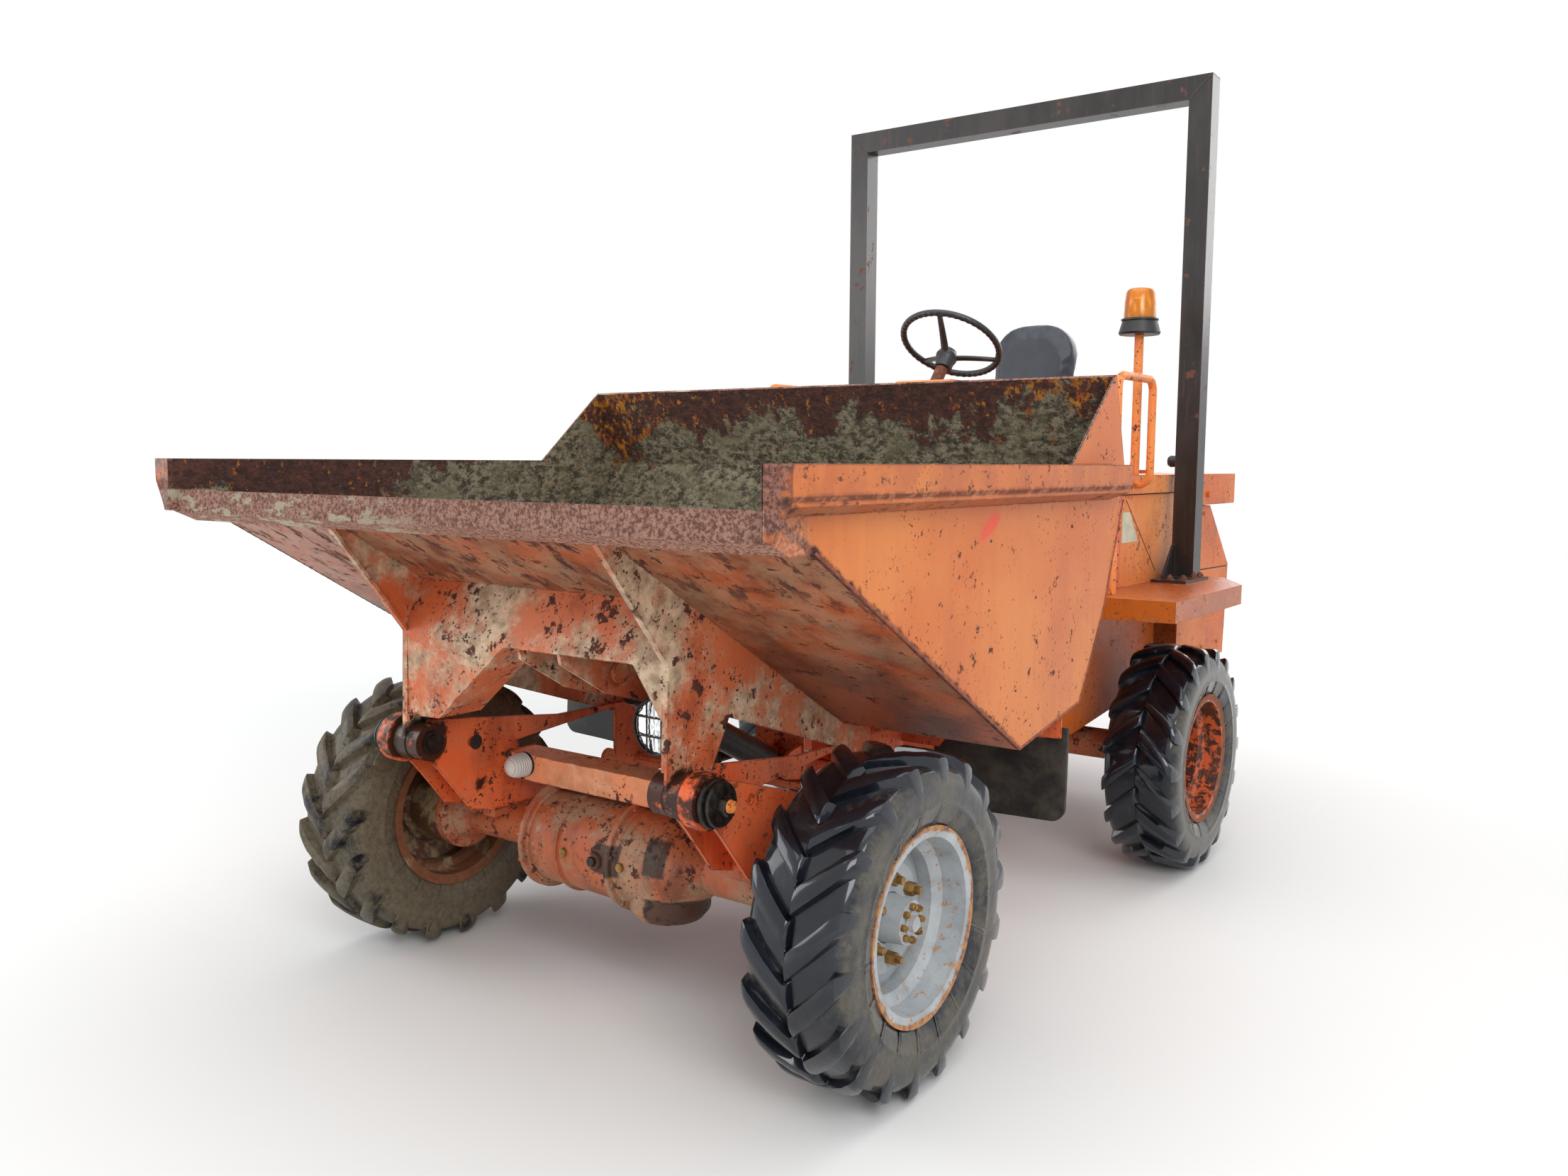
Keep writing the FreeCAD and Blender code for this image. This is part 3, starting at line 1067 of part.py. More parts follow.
def tyre(name, station):
    """Copy of the tyre; the rear pair is fitted the other way round."""
    copy = doc.addObject("Part::Compound", name)
    copy.Links = [tyre_master]
    if station.value > 0:
        copy.Placement.Rotation = FreeCAD.Rotation(AXES["z"], 180)
    return copy


def rim(name, disc, seat):
    """Rim barrel with flanges, drop centre and a disc at a distance outboard of the middle."""
    barrel = turned(name + "_barrel", [
        (-rim_half, size("rim_radius")), (-rim_half + 12, size("rim_radius")), (-rim_half + 15, bead - 0.5),
        (-60, bead - 4), (-40, bead - 32), (30, bead - 32), (50, bead - 4), (rim_half - 15, bead - 0.5),
        (rim_half - 12, size("rim_radius")), (rim_half, size("rim_radius")), (rim_half - 6, bead - 10),
        (54, bead - 14), (35, bead - 42), (-45, bead - 42), (-64, bead - 14), (-rim_half + 6, bead - 10)])
    face = turned(name + "_disc", [(disc, 64), (disc + 10, 64), (disc + 10, 140), (disc + 2, 162),
                                   (disc - 12, bead - seat), (disc - 20, bead - seat), (disc - 8, 158), (disc, 138)])
    return joined(name, [barrel, face])


def hub(name, disc, nose):
    """Hub drum from the axle flange out through the disc, with its nose."""
    drum = turned(name + "_drum", [
        (flange_at - size("wheel_centre") + 0.5, 0), (flange_at - size("wheel_centre") + 0.5, 118),
        (disc - 30, 118), (disc - 14, 130), (disc - 0.5, 130), (disc - 0.5, 63), (disc + 24, 60), (nose, 56),
        (nose, 0)])
    bolts = [bar("%s_bolt_%d" % (name, i), "x", nose, 42 * math.cos(i * math.pi / 4), 42 * math.sin(i * math.pi / 4),
                 7, 9) for i in range(8)]
    studs = [bar("%s_stud_%d" % (name, i), "x", disc + 9, 102 * math.cos((i + 0.5) * math.pi / 3),
                 102 * math.sin((i + 0.5) * math.pi / 3), 15, 24) for i in range(6)]
    bodies = [drum] + bolts
    return joined(name, bodies), studs


# columns: wheel, side (+1 is the machine's left), station along the machine, disc offset, nose offset,
# disc's outer edge inside the bead seat
WHEELS = [
    ("front_left", 1, -size("front_axle"), 8, 82, 38),
    ("front_right", -1, -size("front_axle"), 8, 82, 38),
    ("rear_left", 1, size("rear_axle"), -60, 20, 8),
    ("rear_right", -1, size("rear_axle"), -60, 20, 8),
]
for corner, side, station, disc, nose, seat in WHEELS:
    hub_piece, studs = hub(corner + "_hub_raw", disc, nose)
    rim_piece = joined(corner + "_rim_raw", [rim(corner + "_rim_base", disc, seat)] + studs)
    for kind, piece in (("tyre", tyre(corner + "_tyre_raw", station)), ("rim", rim_piece), ("hub", hub_piece)):
        if side < 0:
            piece = mirrored(corner + "_" + kind + "_turned", piece)
        node(corner + "_" + kind, piece, size("wheel_centre") * side, station, size("axle_height"))


# Check every object and write each sub-part

doc.recompute()
for item in doc.Objects:
    if "Invalid" in item.State or "Error" in item.State:
        raise RuntimeError("failed: %s %s" % (item.Name, item.State))
os.makedirs("parts", exist_ok=True)
for piece in nodes:
    shape = piece.Shape
    if shape.isNull() or not shape.isValid() or not shape.Solids:
        raise RuntimeError("bad shape: " + piece.Label)
    shape.exportStep(os.path.join("parts", piece.Label + ".step"))
    bounds = shape.BoundBox
    print("%-20s solids %2d  x %7.1f %7.1f  y %7.1f %7.1f  z %7.1f %7.1f" % (
        piece.Label, len(shape.Solids), bounds.XMin, bounds.XMax, bounds.YMin, bounds.YMax, bounds.ZMin, bounds.ZMax))
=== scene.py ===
import math

import bpy
import numpy as np
from mathutils import Matrix, Vector


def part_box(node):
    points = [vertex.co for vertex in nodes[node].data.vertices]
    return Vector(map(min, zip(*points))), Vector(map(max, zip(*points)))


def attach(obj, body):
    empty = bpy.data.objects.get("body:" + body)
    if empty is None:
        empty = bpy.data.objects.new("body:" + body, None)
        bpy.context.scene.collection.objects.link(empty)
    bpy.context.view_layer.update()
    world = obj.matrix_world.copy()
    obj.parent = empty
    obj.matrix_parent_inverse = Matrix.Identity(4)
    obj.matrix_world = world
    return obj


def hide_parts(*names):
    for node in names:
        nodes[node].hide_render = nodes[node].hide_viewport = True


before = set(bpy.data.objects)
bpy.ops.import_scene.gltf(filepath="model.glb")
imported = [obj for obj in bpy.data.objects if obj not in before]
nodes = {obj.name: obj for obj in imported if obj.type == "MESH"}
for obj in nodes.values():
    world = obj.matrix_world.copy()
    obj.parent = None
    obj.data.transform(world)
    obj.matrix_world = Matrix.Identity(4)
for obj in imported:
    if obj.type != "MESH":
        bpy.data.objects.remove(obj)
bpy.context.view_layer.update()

# ---- view

viewSettings = {"lens": 28.54, "spot": (2.4263, -3.8936, 1.561), "tip": 84.14, "turn": 35.88, "roll": 0.39}

scene = bpy.context.scene
scene.view_settings.view_transform = "Standard"
cameraData = bpy.data.cameras.new("view")
cameraData.lens = viewSettings["lens"]
cameraData.sensor_width = 36.0
cameraData.sensor_fit = "HORIZONTAL"
cameraData.clip_end = 60.0
camera = bpy.data.objects.new("view", cameraData)
camera.matrix_world = (
    Matrix.Translation(viewSettings["spot"])
    @ Matrix.Rotation(math.radians(viewSettings["turn"]), 4, "Z")
    @ Matrix.Rotation(math.radians(viewSettings["tip"]), 4, "X")
    @ Matrix.Rotation(math.radians(viewSettings["roll"]), 4, "Z")
)
scene.collection.objects.link(camera)
scene.camera = camera


# ---- shader helpers

# sRGB hex to the linear value the shader wants: below 0.04045 a straight line, above it a 2.4 power
def linear(hexCode):
    values = [int(hexCode[i:i + 2], 16) / 255 for i in (1, 3, 5)]
    return tuple(v / 12.92 if v <= 0.04045 else ((v + 0.055) / 1.055) ** 2.4 for v in values) + (1.0,)


# what a node is: its kind and its own settings
times, plus, minus, over, most, sizeOf, root = (
    ("Math", {"operation": word}) for word in ("MULTIPLY", "ADD", "SUBTRACT", "DIVIDE", "MAXIMUM", "ABSOLUTE", "SQRT")
)
ramp = ("MapRange", {"interpolation_type": "SMOOTHSTEP"})  # an S curve, 0 at the first bound and 1 at the second
blend = ("Mix", {"data_type": "RGBA"})
cloud, cell, shifted, hump = ("TexNoise", {}), ("TexVoronoi", {}), ("Mapping", {}), ("Bump", {})
geometry, parts = ("NewGeometry", {}), ("SeparateXYZ", {})


# adds one node. The inputs stand in the order of its open sockets: a socket is linked, a hex turned linear, None left
def addNode(tree, what, *inputs):
    node = tree.nodes.new("ShaderNode" + what[0])
    for key, value in what[1].items():
        setattr(node, key, value)
    for socket, value in zip([s for s in node.inputs if s.enabled], inputs):
        if isinstance(value, bpy.types.NodeSocket):
            tree.links.new(value, socket)
        elif value is not None:
            socket.default_value = linear(value) if isinstance(value, str) else value
    return node


# a material with its shader, its Object coordinates in metres and the patterns that all of them use
class Look:
    def __init__(self, name, rough=0.6, metal=0.0, sockets=None):
        self.material = bpy.data.materials.new(name)
        self.material.use_nodes = True
        self.tree = self.material.node_tree
        self.shader = self.tree.nodes["Principled BSDF"]
        for key, value in {"Roughness": rough, "Metallic": metal, **(sockets or {})}.items():
            self.shader.inputs[key].default_value = linear(value) if isinstance(value, str) else value
        self.place = addNode(self.tree, ("TexCoord", {})).outputs["Object"]
        self.axes = addNode(self.tree, parts, self.place).outputs

    # a node's first open output
    def add(self, what, *inputs):
        return next(s for s in addNode(self.tree, what, *inputs).outputs if s.enabled)

    # one operation over several values in turn
    def chain(self, what, first, *rest):
        for value in rest:
            first = self.add(what, first, value)
        return first

    # clouds whose largest patch is about size mm; stretch and shift work along X, Y and Z
    def noise(self, size, detail=4.0, rough=0.55, stretch=(1, 1, 1), shift=(0, 0, 0)):
        spot = self.place
        if stretch != (1, 1, 1) or shift != (0, 0, 0):
            spot = self.add(shifted, self.place, shift, None, stretch)
        return self.add(cloud, spot, 1000.0 / size, detail, rough)

    # how far the surface faces along the piece's own axis, -1 to 1, so the pattern stays put when the piece turns
    def facing(self, axis):
        return addNode(self.tree, parts, addNode(self.tree, ("TexCoord", {})).outputs["Normal"]).outputs[axis]

    # 1 on outer edges, 0 on open faces: how far the rounded normal leans from the true one
    def edges(self, radius):
        soft = self.add(("Bevel", {"samples": 4}), radius / 1000.0)
        true = addNode(self.tree, geometry).outputs["True Normal"]
        lean = self.add(("VectorMath", {"operation": "DOT_PRODUCT"}), soft, true)
        return self.add(ramp, self.add(minus, 1.0, lean), 0.01, 0.12)

    # distance in metres from a point, or from a line along X where only (y, z) is given: root of the summed squares
    def reach(self, *spot):
        total = 0.0
        for name, value in zip("XYZ"[3 - len(spot):], spot):
            off = self.add(minus, self.axes[name], value)
            total = self.add(plus, total, self.add(times, off, off))
        return self.add(root, total)

    # 1 inside a ragged box round (x, z), half as wide and high as given
    def patch(self, x, z, halfX, halfZ, ragged):
        across = self.add(over, self.add(sizeOf, self.add(minus, self.axes["X"], x)), halfX)
        upward = self.add(over, self.add(sizeOf, self.add(minus, self.axes["Z"], z)), halfZ)
        off = self.add(plus, self.add(most, across, upward), self.add(times, ragged, 0.9))
        return self.add(ramp, off, 1.55, 1.35)

    # colour and roughness into the shader, then the bumps one over another, each (height, depth in mm)
    def finish(self, colour, rough=None, bumps=()):
        if isinstance(colour, str):
            self.shader.inputs["Base Color"].default_value = linear(colour)
        else:
            self.tree.links.new(colour, self.shader.inputs["Base Color"])
        if rough is not None:
            self.tree.links.new(rough, self.shader.inputs["Roughness"])
        last = None
        for height, depth in bumps:
            last = self.add(hump, 1.0, depth / 1000.0, None, height, last)
        if last is not None:
            self.tree.links.new(last, self.shader.inputs["Normal"])
        return self.material


# ---- mesh helpers

# points welded where they meet, quads (or triangles where a side has no length), flat or smooth up to an angle
def meshObject(name, points, quads, material, smooth=38.0, attributes=None):
    flat = np.round(points.reshape(-1, 3), 7)
    kept, first, order = np.unique(flat, axis=0, return_index=True, return_inverse=True)
    faces = []
    for quad in order.reshape(-1)[quads]:
        ring = [int(v) for i, v in enumerate(quad) if v != quad[i - 1]]
        if len(set(ring)) > 2:
            faces.append(ring)
    mesh = bpy.data.meshes.new(name)
    mesh.from_pydata(kept.tolist(), [], faces)
    for key, values in (attributes or {}).items():
        layer = mesh.attributes.new(key, "FLOAT", "POINT")
        layer.data.foreach_set("value", values.reshape(-1)[first].astype(np.float32))
    mesh.materials.append(material)
    mesh.validate()
    mesh.shade_smooth()
    mesh.set_sharp_from_angle(angle=math.radians(smooth))
    piece = bpy.data.objects.new(name, mesh)
    scene.collection.objects.link(piece)
    return piece


# quad corners of a grid of rows x columns, wrapped round in either direction if asked
def gridQuads(rows, columns, wrapRows=False, wrapColumns=False):
    r = np.arange(rows if wrapRows else rows - 1)
    c = np.arange(columns if wrapColumns else columns - 1)
    r, c = (a.reshape(-1) for a in np.meshgrid(r, c, indexing="ij"))
    down, right = (r + 1) % rows, (c + 1) % columns
    return np.stack([r * columns + c, r * columns + right, down * columns + right, down * columns + c], 1)


# matrix whose Z runs along axis, placed at spot and spun about it by spin degrees
def stand(spot, axis=(0, 0, 1), spin=0.0):
    turn = Vector(axis).to_track_quat("Z", "Y").to_matrix().to_4x4()
    return np.array(Matrix.Translation(spot) @ turn @ Matrix.Rotation(math.radians(spin), 4, "Z"))


# profile of (radius, height) pairs turned about Z in so many steps: point = (r cos a, r sin a, h)
def turnedPoints(profile, steps):
    profile = np.array(profile, float)
    angle = np.arange(steps) * 2 * np.pi / steps
    x = profile[:, :1] * np.cos(angle)
    y = profile[:, :1] * np.sin(angle)
    z = np.repeat(profile[:, 1:], steps, 1)
    return np.stack([x, y, z], 2), gridQuads(len(profile), steps, wrapColumns=True)


# the same small shape set down at each matrix, as one object: point = matrix times point
def copies(name, shape, places, material, body, smooth=38.0):
    points, quads = shape
    flat = np.concatenate([points.reshape(-1, 3), np.ones((points.size // 3, 1))], 1)
    placed = np.concatenate([(flat @ place.T)[:, :3] for place in places])
    corners = np.concatenate([quads + i * len(flat) for i in range(len(places))])
    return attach(meshObject(name, placed, corners, material, smooth), body)


# a ring of section points (u, v) carried along a path with closed ends: point = path + u side + v top, where side is
# square to the path and to Z, and top is square to both
def carried(name, path, section, material):
    path, section = np.array(path, float), np.array(section, float)
    along = np.roll(path, -1, 0) - np.roll(path, 1, 0)
    along[0], along[-1] = path[1] - path[0], path[-1] - path[-2]
    along /= np.linalg.norm(along, axis=1, keepdims=True)
    side = np.cross(along, np.array((0.0, 0.0, 1.0)))
    side /= np.linalg.norm(side, axis=1, keepdims=True)
    top = np.cross(side, along)
    points = path[:, None] + section[None, :, :1] * side[:, None] + section[None, :, 1:] * top[:, None]
    ends = [np.repeat(path[i][None, None], len(section), 1) for i in (0, -1)]
    points = np.concatenate([ends[0], points, ends[1]])
    return meshObject(name, points, gridQuads(len(points), len(section), wrapColumns=True)[:, ::-1], material)


# round section of a radius: (r cos a, r sin a)
def roundSection(radius, count=8):
    angle = np.arange(count) * 2 * np.pi / count
    return np.stack([radius * np.cos(angle), radius * np.sin(angle)], 1)


# straight beads of weld: a half round over each run whose height swells and shrinks as |sin| every few millimetres
def weldBead(name, runs, width, material, body):
    points, quads, start = [], [], 0
    for a, b, out in runs:
        a, b, out = (np.array(v, float) for v in (a, b, out))
        length = np.linalg.norm(b - a)
        steps = max(int(length / 0.006), 4)
        t = np.linspace(0, 1, steps)[:, None, None]
        out = out / np.linalg.norm(out)
        side = np.cross((b - a) / length, out)
        angle = np.linspace(0, np.pi, 5)[None, :, None]
        half = width / 2 * (0.84 + 0.16 * np.abs(np.sin(np.arange(steps) * 0.8))[:, None, None])
        ridge = a + (b - a) * t + side * half * np.cos(angle) + out * half * 0.7 * np.sin(angle)
        points.append(ridge.reshape(-1, 3))
        quads.append(gridQuads(steps, 5) + start)
        start += steps * 5
    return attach(meshObject(name, np.concatenate(points), np.concatenate(quads), material, 60.0), body)


# ---- materials

# rust tones that every painted piece shares
rustTones = {"deep": "#3A211B", "brown": "#5E3226", "bright": "#A9602C"}
tipPivot = (-1.651, 0.75)

# mm across of what an outdoor paint shows
paintSizes = {
    "sun": 480, "grain": 38, "runs": 14, "smears": 170, "film": 260, "grit": 13, "specks": 11, "patches": 210,
    "flakes": 58, "grease": 45,
}


# Sprayed and sun-faded orange over steel plate: chalky clouds, thin runs down the faces, a thin film of dried
# cement, spots and edge flakes down to brown rust, so the plate reads as old hand-painted steel that works outdoors
def orangePaint(name, base, faded, dark, wear=1.0, film=0.0, filmHex="#A8967A", grease=(), wet=0.0, oil=()):
    size = paintSizes
    look = Look(name, 0.5, sockets={"Specular IOR Level": 0.32})
    add, noise = look.add, look.noise
    clouds = noise(size["sun"], 3)
    fine = noise(size["grain"], 5, 0.6)
    colour = add(blend, add(ramp, clouds, 0.36, 0.66), base, faded)
    runs = noise(size["runs"], 3, 0.6, (1, 1, 0.06))
    colour = add(blend, add(times, add(ramp, runs, 0.56, 0.76), 0.30), colour, dark)
    smears = noise(size["smears"], 5, 0.66, (1, 1, 0.6), (3, 1, 2))
    colour = add(blend, add(times, add(ramp, smears, 0.50, 0.70), 0.35 + 0.2 * wear), colour, dark)
    if film:
        layer = noise(size["film"], 6, 0.68, shift=(2, 8, 3))
        grit = noise(size["grit"], 3, 0.6, shift=(7, 1, 1))
        cover = add(times, add(ramp, layer, 0.44, 0.60), film)
        splash = add(times, add(ramp, grit, 0.55, 0.63), add(ramp, layer, 0.40, 0.56))
        cover = add(most, cover, add(times, splash, min(film * 1.5, 0.9)))
        colour = add(blend, cover, colour, add(blend, add(ramp, fine, 0.3, 0.7), filmHex, "#94846A"))
    # rust: specks in patches, worn edges, and flakes that grow with wear, each flake in a dark halo
    specks = noise(size["specks"], 2, 0.5, shift=(5, 5, 5))
    patch = noise(size["patches"], 4, 0.6, shift=(9, 2, 7))
    spots = add(times, add(ramp, specks, 0.62, 0.67), add(ramp, patch, 0.40, 0.54))
    worn = add(times, look.edges(5.0), add(ramp, fine, 0.38, 0.52))
    flakes = noise(size["flakes"], 6, 0.7, shift=(1, 7, 4))
    loose = add(ramp, flakes, 0.635 - 0.035 * wear, 0.655 - 0.035 * wear)
    rusty = look.chain(most, spots, worn, add(times, loose, add(ramp, patch, 0.42, 0.5)))
    halo = add(times, add(ramp, flakes, 0.56, 0.66), add(ramp, patch, 0.40, 0.5))
    colour = add(blend, add(times, halo, 0.5), colour, dark)
    rust = add(blend, add(ramp, fine, 0.35, 0.66), rustTones["deep"], rustTones["bright" if wear < 1 else "brown"])
    colour = add(blend, rusty, colour, rust)
    rough = add(plus, add(times, rusty, 0.3), add(plus, add(times, fine, 0.25), 0.34 - wet))
    for spot in oil:
        soaked = look.patch(*spot, smears)
        colour = add(blend, add(times, soaked, 0.86), colour, add(blend, fine, "#1D1917", "#3A322B"))
    for *spot, radius in grease:
        ragged = add(times, add(minus, noise(size["grease"], 5, 0.65), 0.5), 0.11)
        black = add(ramp, add(plus, look.reach(*spot), ragged), radius + 0.008, radius - 0.012)
        colour = add(blend, add(times, black, 0.94), colour, "#14110F")
        rough = add(minus, rough, add(times, black, 0.12))
    return look.finish(colour, rough, [(rusty, -0.5), (fine, 0.5)])


# metres in the frame: the walls' outer face, the rails' face with the middle and half width of their groove, the
# pouring lip, the top edge of the back wall, the height where the cement ends, the fold along the side's edge
# (y, z, slope) and the scuff (y, z, half size)
skipSettings = {
    "wall": 1.050, "railFace": 1.059, "groove": 1.490, "halfGroove": 0.014, "lipY": -1.92, "lipTop": 1.468,
    "crest": 1.5485, "bare": 1.75, "fold": (0.934, 0.808, -0.594), "scuff": (1.135, 1.405, 0.045),
}
# mm across
skipSizes = {
    "sun": 560, "grain": 34, "runs": 30, "mottle": 85, "stains": 230, "film": 120, "specks": 9, "patches": 190,
    "chips": 24, "flakes": 70, "crust": 26, "lumps": 190, "pits": 13, "trowel": 120, "primer": 30, "grit": 9,
    "splash": 60, "wing": 70,
}


# Skip plate: faded orange outside; inside, set cement over rust with flakes of primer near the top and
# maroon rust along the rims, so the tub reads as one that has carried years of wet mix
def skipSteel(name):
    at, size = skipSettings, skipSizes
    look = Look(name, 0.55, sockets={"Specular IOR Level": 0.32})
    add, noise = look.add, look.noise
    x, y, z = (look.axes[i] for i in range(3))
    side = add(sizeOf, x)
    up, fore = look.facing("Z"), look.facing("Y")
    fine = noise(size["grain"], 5, 0.6)
    colour = add(blend, add(ramp, noise(size["sun"], 3), 0.36, 0.66), "#C0642A", "#CA7638")
    runs = noise(size["runs"], 2, 0.5, (1, 1, 0.035))
    colour = add(blend, add(times, add(ramp, runs, 0.50, 0.80), 0.16), colour, "#A8552F")
    mottle = noise(size["mottle"], 5, 0.6, (1, 1, 0.8), (2, 2, 6))
    colour = add(blend, add(times, add(ramp, mottle, 0.46, 0.72), 0.20), colour, "#B8602F")
    stains = noise(size["stains"], 5, 0.64, (1, 1, 0.5), (3, 1, 2))
    low = add(ramp, z, 1.36, 0.86)
    under = add(ramp, up, -0.30, -0.62)
    stained = add(ramp, add(plus, stains, add(times, low, 0.08)), 0.52, 0.72)
    colour = add(blend, add(times, stained, 0.34), colour, "#A9552F")

    # underside of the floor: darker by painted shade on every face that looks down, broken by stains, and filmed with
    # cement at the front
    shadedUnderside = add(blend, add(ramp, stains, 0.38, 0.62), "#B0562E", "#743821")
    dried = add(ramp, noise(size["film"], 6, 0.7, shift=(1, 5, 2)), 0.36, 0.62)
    filmed = add(times, add(ramp, y, -0.90, -1.65), dried)
    colour = add(blend, under, colour, add(blend, add(times, filmed, 0.55), shadedUnderside, "#A88C6E"))

    # rust specks, more of them low down; the rails are browner, pitted along their groove and chipped
    specks = noise(size["specks"], 2, 0.5, shift=(5, 5, 5))
    patch = noise(size["patches"], 4, 0.6, shift=(9, 2, 7))
    spotted = add(ramp, add(plus, patch, add(times, low, 0.06)), 0.44, 0.60)
    spots = add(times, add(ramp, specks, 0.655, 0.70), spotted)
    rail = add(ramp, side, at["railFace"] - 0.003, at["railFace"] + 0.003)
    middle, halfGroove = at["groove"], at["halfGroove"]
    groove = add(times, add(ramp, z, middle + halfGroove, middle), add(ramp, z, middle - halfGroove, middle))
    pitted = add(times, add(times, rail, groove), add(ramp, fine, 0.42, 0.58))
    # the rails' darker brown is partly weathering and partly painted shade, darkened against the light on their
    # outward face
    brownedAndShaded = add(plus, 0.35, add(times, add(ramp, mottle, 0.40, 0.62), 0.45))
    colour = add(blend, add(times, rail, brownedAndShaded), colour, "#A4562E")
    chips = add(ramp, noise(size["chips"], 6, 0.72, (0.6, 0.6, 1), (4, 1, 4)), 0.60, 0.64)
    pitted = add(most, pitted, add(times, add(times, rail, chips), 0.8))
    worn = add(times, look.edges(7.0), add(ramp, fine, 0.34, 0.48))

    # the side plate's sloping edge, where the floor is welded on: rust bleeds a finger wide
    foldY, foldZ, slope = at["fold"]
    seamZ = add(plus, add(times, add(plus, y, foldY), slope), foldZ)
    seam = add(plus, add(sizeOf, add(minus, z, seamZ)), add(times, fine, 0.05))
    outboard, forward = add(ramp, side, 1.040, 1.046), add(ramp, y, -0.92, -0.95)
    bleed = look.chain(times, add(ramp, seam, 0.046, 0.030), outboard, forward)
    flakes = noise(size["flakes"], 6, 0.72, (1, 1.6, 1.6), (1, 7, 4))
    lipNear = add(times, under, add(ramp, y, -1.40, -1.80))
    brushed = noise(size["mottle"], 6, 0.72, (1.7, 0.7, 0.7), (1, 7, 4))
    flaked = add(ramp, add(plus, flakes, add(times, under, 0.02)), 0.62, 0.65)
    flaked = add(most, flaked, add(times, lipNear, add(ramp, brushed, 0.545, 0.585)))
    rusty = add(most, add(most, add(most, spots, pitted), add(most, worn, bleed)), flaked)
    colour = add(blend, rusty, colour, add(blend, add(ramp, fine, 0.35, 0.66), "#35201B", "#7A4129"))

    # a red scuff of another machine's paint: a slanting disc, (y and z off its middle)^2 under 1
    scuffY, scuffZ, half = at["scuff"]
    lean = add(times, add(minus, z, scuffZ), -1.2)
    dy = add(over, add(plus, add(plus, y, scuffY), lean), half)
    dz = add(over, add(minus, z, scuffZ), half)
    off = add(plus, add(times, dy, dy), add(times, dz, dz))
    ragged = add(plus, off, add(times, fine, 1.2))
    scuff = add(times, add(ramp, ragged, 1.5, 0.9), add(ramp, x, 1.0, 1.05))
    colour = add(blend, add(times, scuff, 0.8), colour, "#D8402B")

    # inside of the tub: every face within the walls that doesn't look down, or back unless it looks up too
    behind = add(times, add(ramp, fore, 0.25, 0.4), add(ramp, up, 0.65, 0.55))
    outer = add(most, add(ramp, up, -0.42, -0.56), behind)
    within = add(times, add(ramp, side, at["wall"] + 0.0002, at["wall"] - 0.0020), add(minus, 1.0, outer))
    crust = noise(size["crust"], 7, 0.78, (0.8, 0.8, 1.2), (4, 4, 1))
    lumps = noise(size["lumps"], 6, 0.66, shift=(6, 3, 8))
    pits = add(cell, add(shifted, look.place, (2, 2, 2)), 1000.0 / size["pits"])
    cement = add(blend, add(ramp, crust, 0.42, 0.58), "#463E2F", "#958B72")
    # the pits are painted near black: painted shade in the cement's holes
    shadedPits = add(times, add(ramp, pits, 0.42, 0.20), add(ramp, crust, 0.62, 0.40))
    cement = add(blend, shadedPits, cement, "#2C271D")
    smooth = add(ramp, noise(size["trowel"], 5, 0.6, shift=(5, 5, 2)), 0.46, 0.66)
    cement = add(blend, add(times, smooth, 0.60), cement, "#7E755B")

    # it ends in a ragged line near the top and at the lip, and primer shows over maroon rust past it
    height = add(plus, z, add(times, add(minus, lumps, 0.5), 0.8))
    height = add(plus, height, add(times, add(ramp, y, -0.6, -1.6), 0.30))
    bare = add(ramp, add(plus, height, add(times, crust, 0.12)), at["bare"] - 0.015, at["bare"] + 0.015)
    cornerNear = add(ramp, add(sizeOf, add(minus, side, 0.95)), 0.5, 0.05)
    cornerNear = add(times, add(times, cornerNear, add(ramp, y, -0.75, -0.6)), 0.085)
    flakeTone = add(plus, noise(size["primer"], 7, 0.76, (1, 1, 0.7), (8, 1, 6)), cornerNear)
    maroon = add(blend, add(ramp, crust, 0.42, 0.58), "#3A231E", "#5C352B")
    yellow = add(blend, add(ramp, fine, 0.4, 0.6), "#9A4E1C", "#CC8426")
    primer = add(blend, add(ramp, flakeTone, 0.590, 0.625), maroon, yellow)
    inner = add(blend, bare, cement, primer)
    inner = add(blend, add(times, add(ramp, flakeTone, 0.67, 0.70), 0.6), inner, "#A8661F")
    colour = add(blend, within, colour, inner)

    # rims: the pouring lip, the wings beside it and the top edges, rubbed to bare brown steel
    shut = add(most, add(ramp, side, at["wall"] + 0.0005, at["wall"] + 0.006), add(ramp, fore, 0.2, 0.4))
    lipY, lipTop, crestZ = at["lipY"], at["lipTop"], at["crest"]
    lipFace = add(times, add(ramp, y, lipY + 0.02, lipY - 0.02), add(ramp, z, lipTop + 0.004, lipTop - 0.004))
    lip = add(times, lipFace, add(minus, 1.0, shut))
    crestFace = add(times, add(ramp, z, crestZ - 0.0035, crestZ + 0.0035), add(ramp, up, 0.5, 0.7))
    crest = add(times, crestFace, add(ramp, mottle, 0.36, 0.50))
    grain = noise(size["grit"], 4, 0.7, shift=(2, 2, 2))
    lipTone = add(blend, add(ramp, grain, 0.40, 0.60), "#74493A", "#B58976")
    splashed = add(ramp, noise(size["splash"], 6, 0.7, (0.6, 1, 1.6)), 0.53, 0.58)
    lipTone = add(blend, add(times, splashed, add(ramp, x, 0.2, -0.3)), lipTone, "#B9AC92")
    wing = add(times, add(ramp, y, -2.045, -2.056), add(ramp, noise(size["wing"], 5), 0.66, 0.50))
    colour = add(blend, wing, colour, add(blend, add(ramp, grain, 0.40, 0.60), "#4E2C25", "#8A5C4D"))
    rim = add(most, lip, crest)
    colour = add(blend, rim, colour, lipTone)
    rough = add(plus, 0.40, add(times, add(most, add(most, within, rusty), rim), 0.4))
    inside = [(add(times, within, crust), 16.0), (add(times, within, pits), 3.0)]
    return look.finish(colour, rough, inside + [(rusty, -0.6), (fine, 0.5), (add(times, rim, grain), 1.5)])


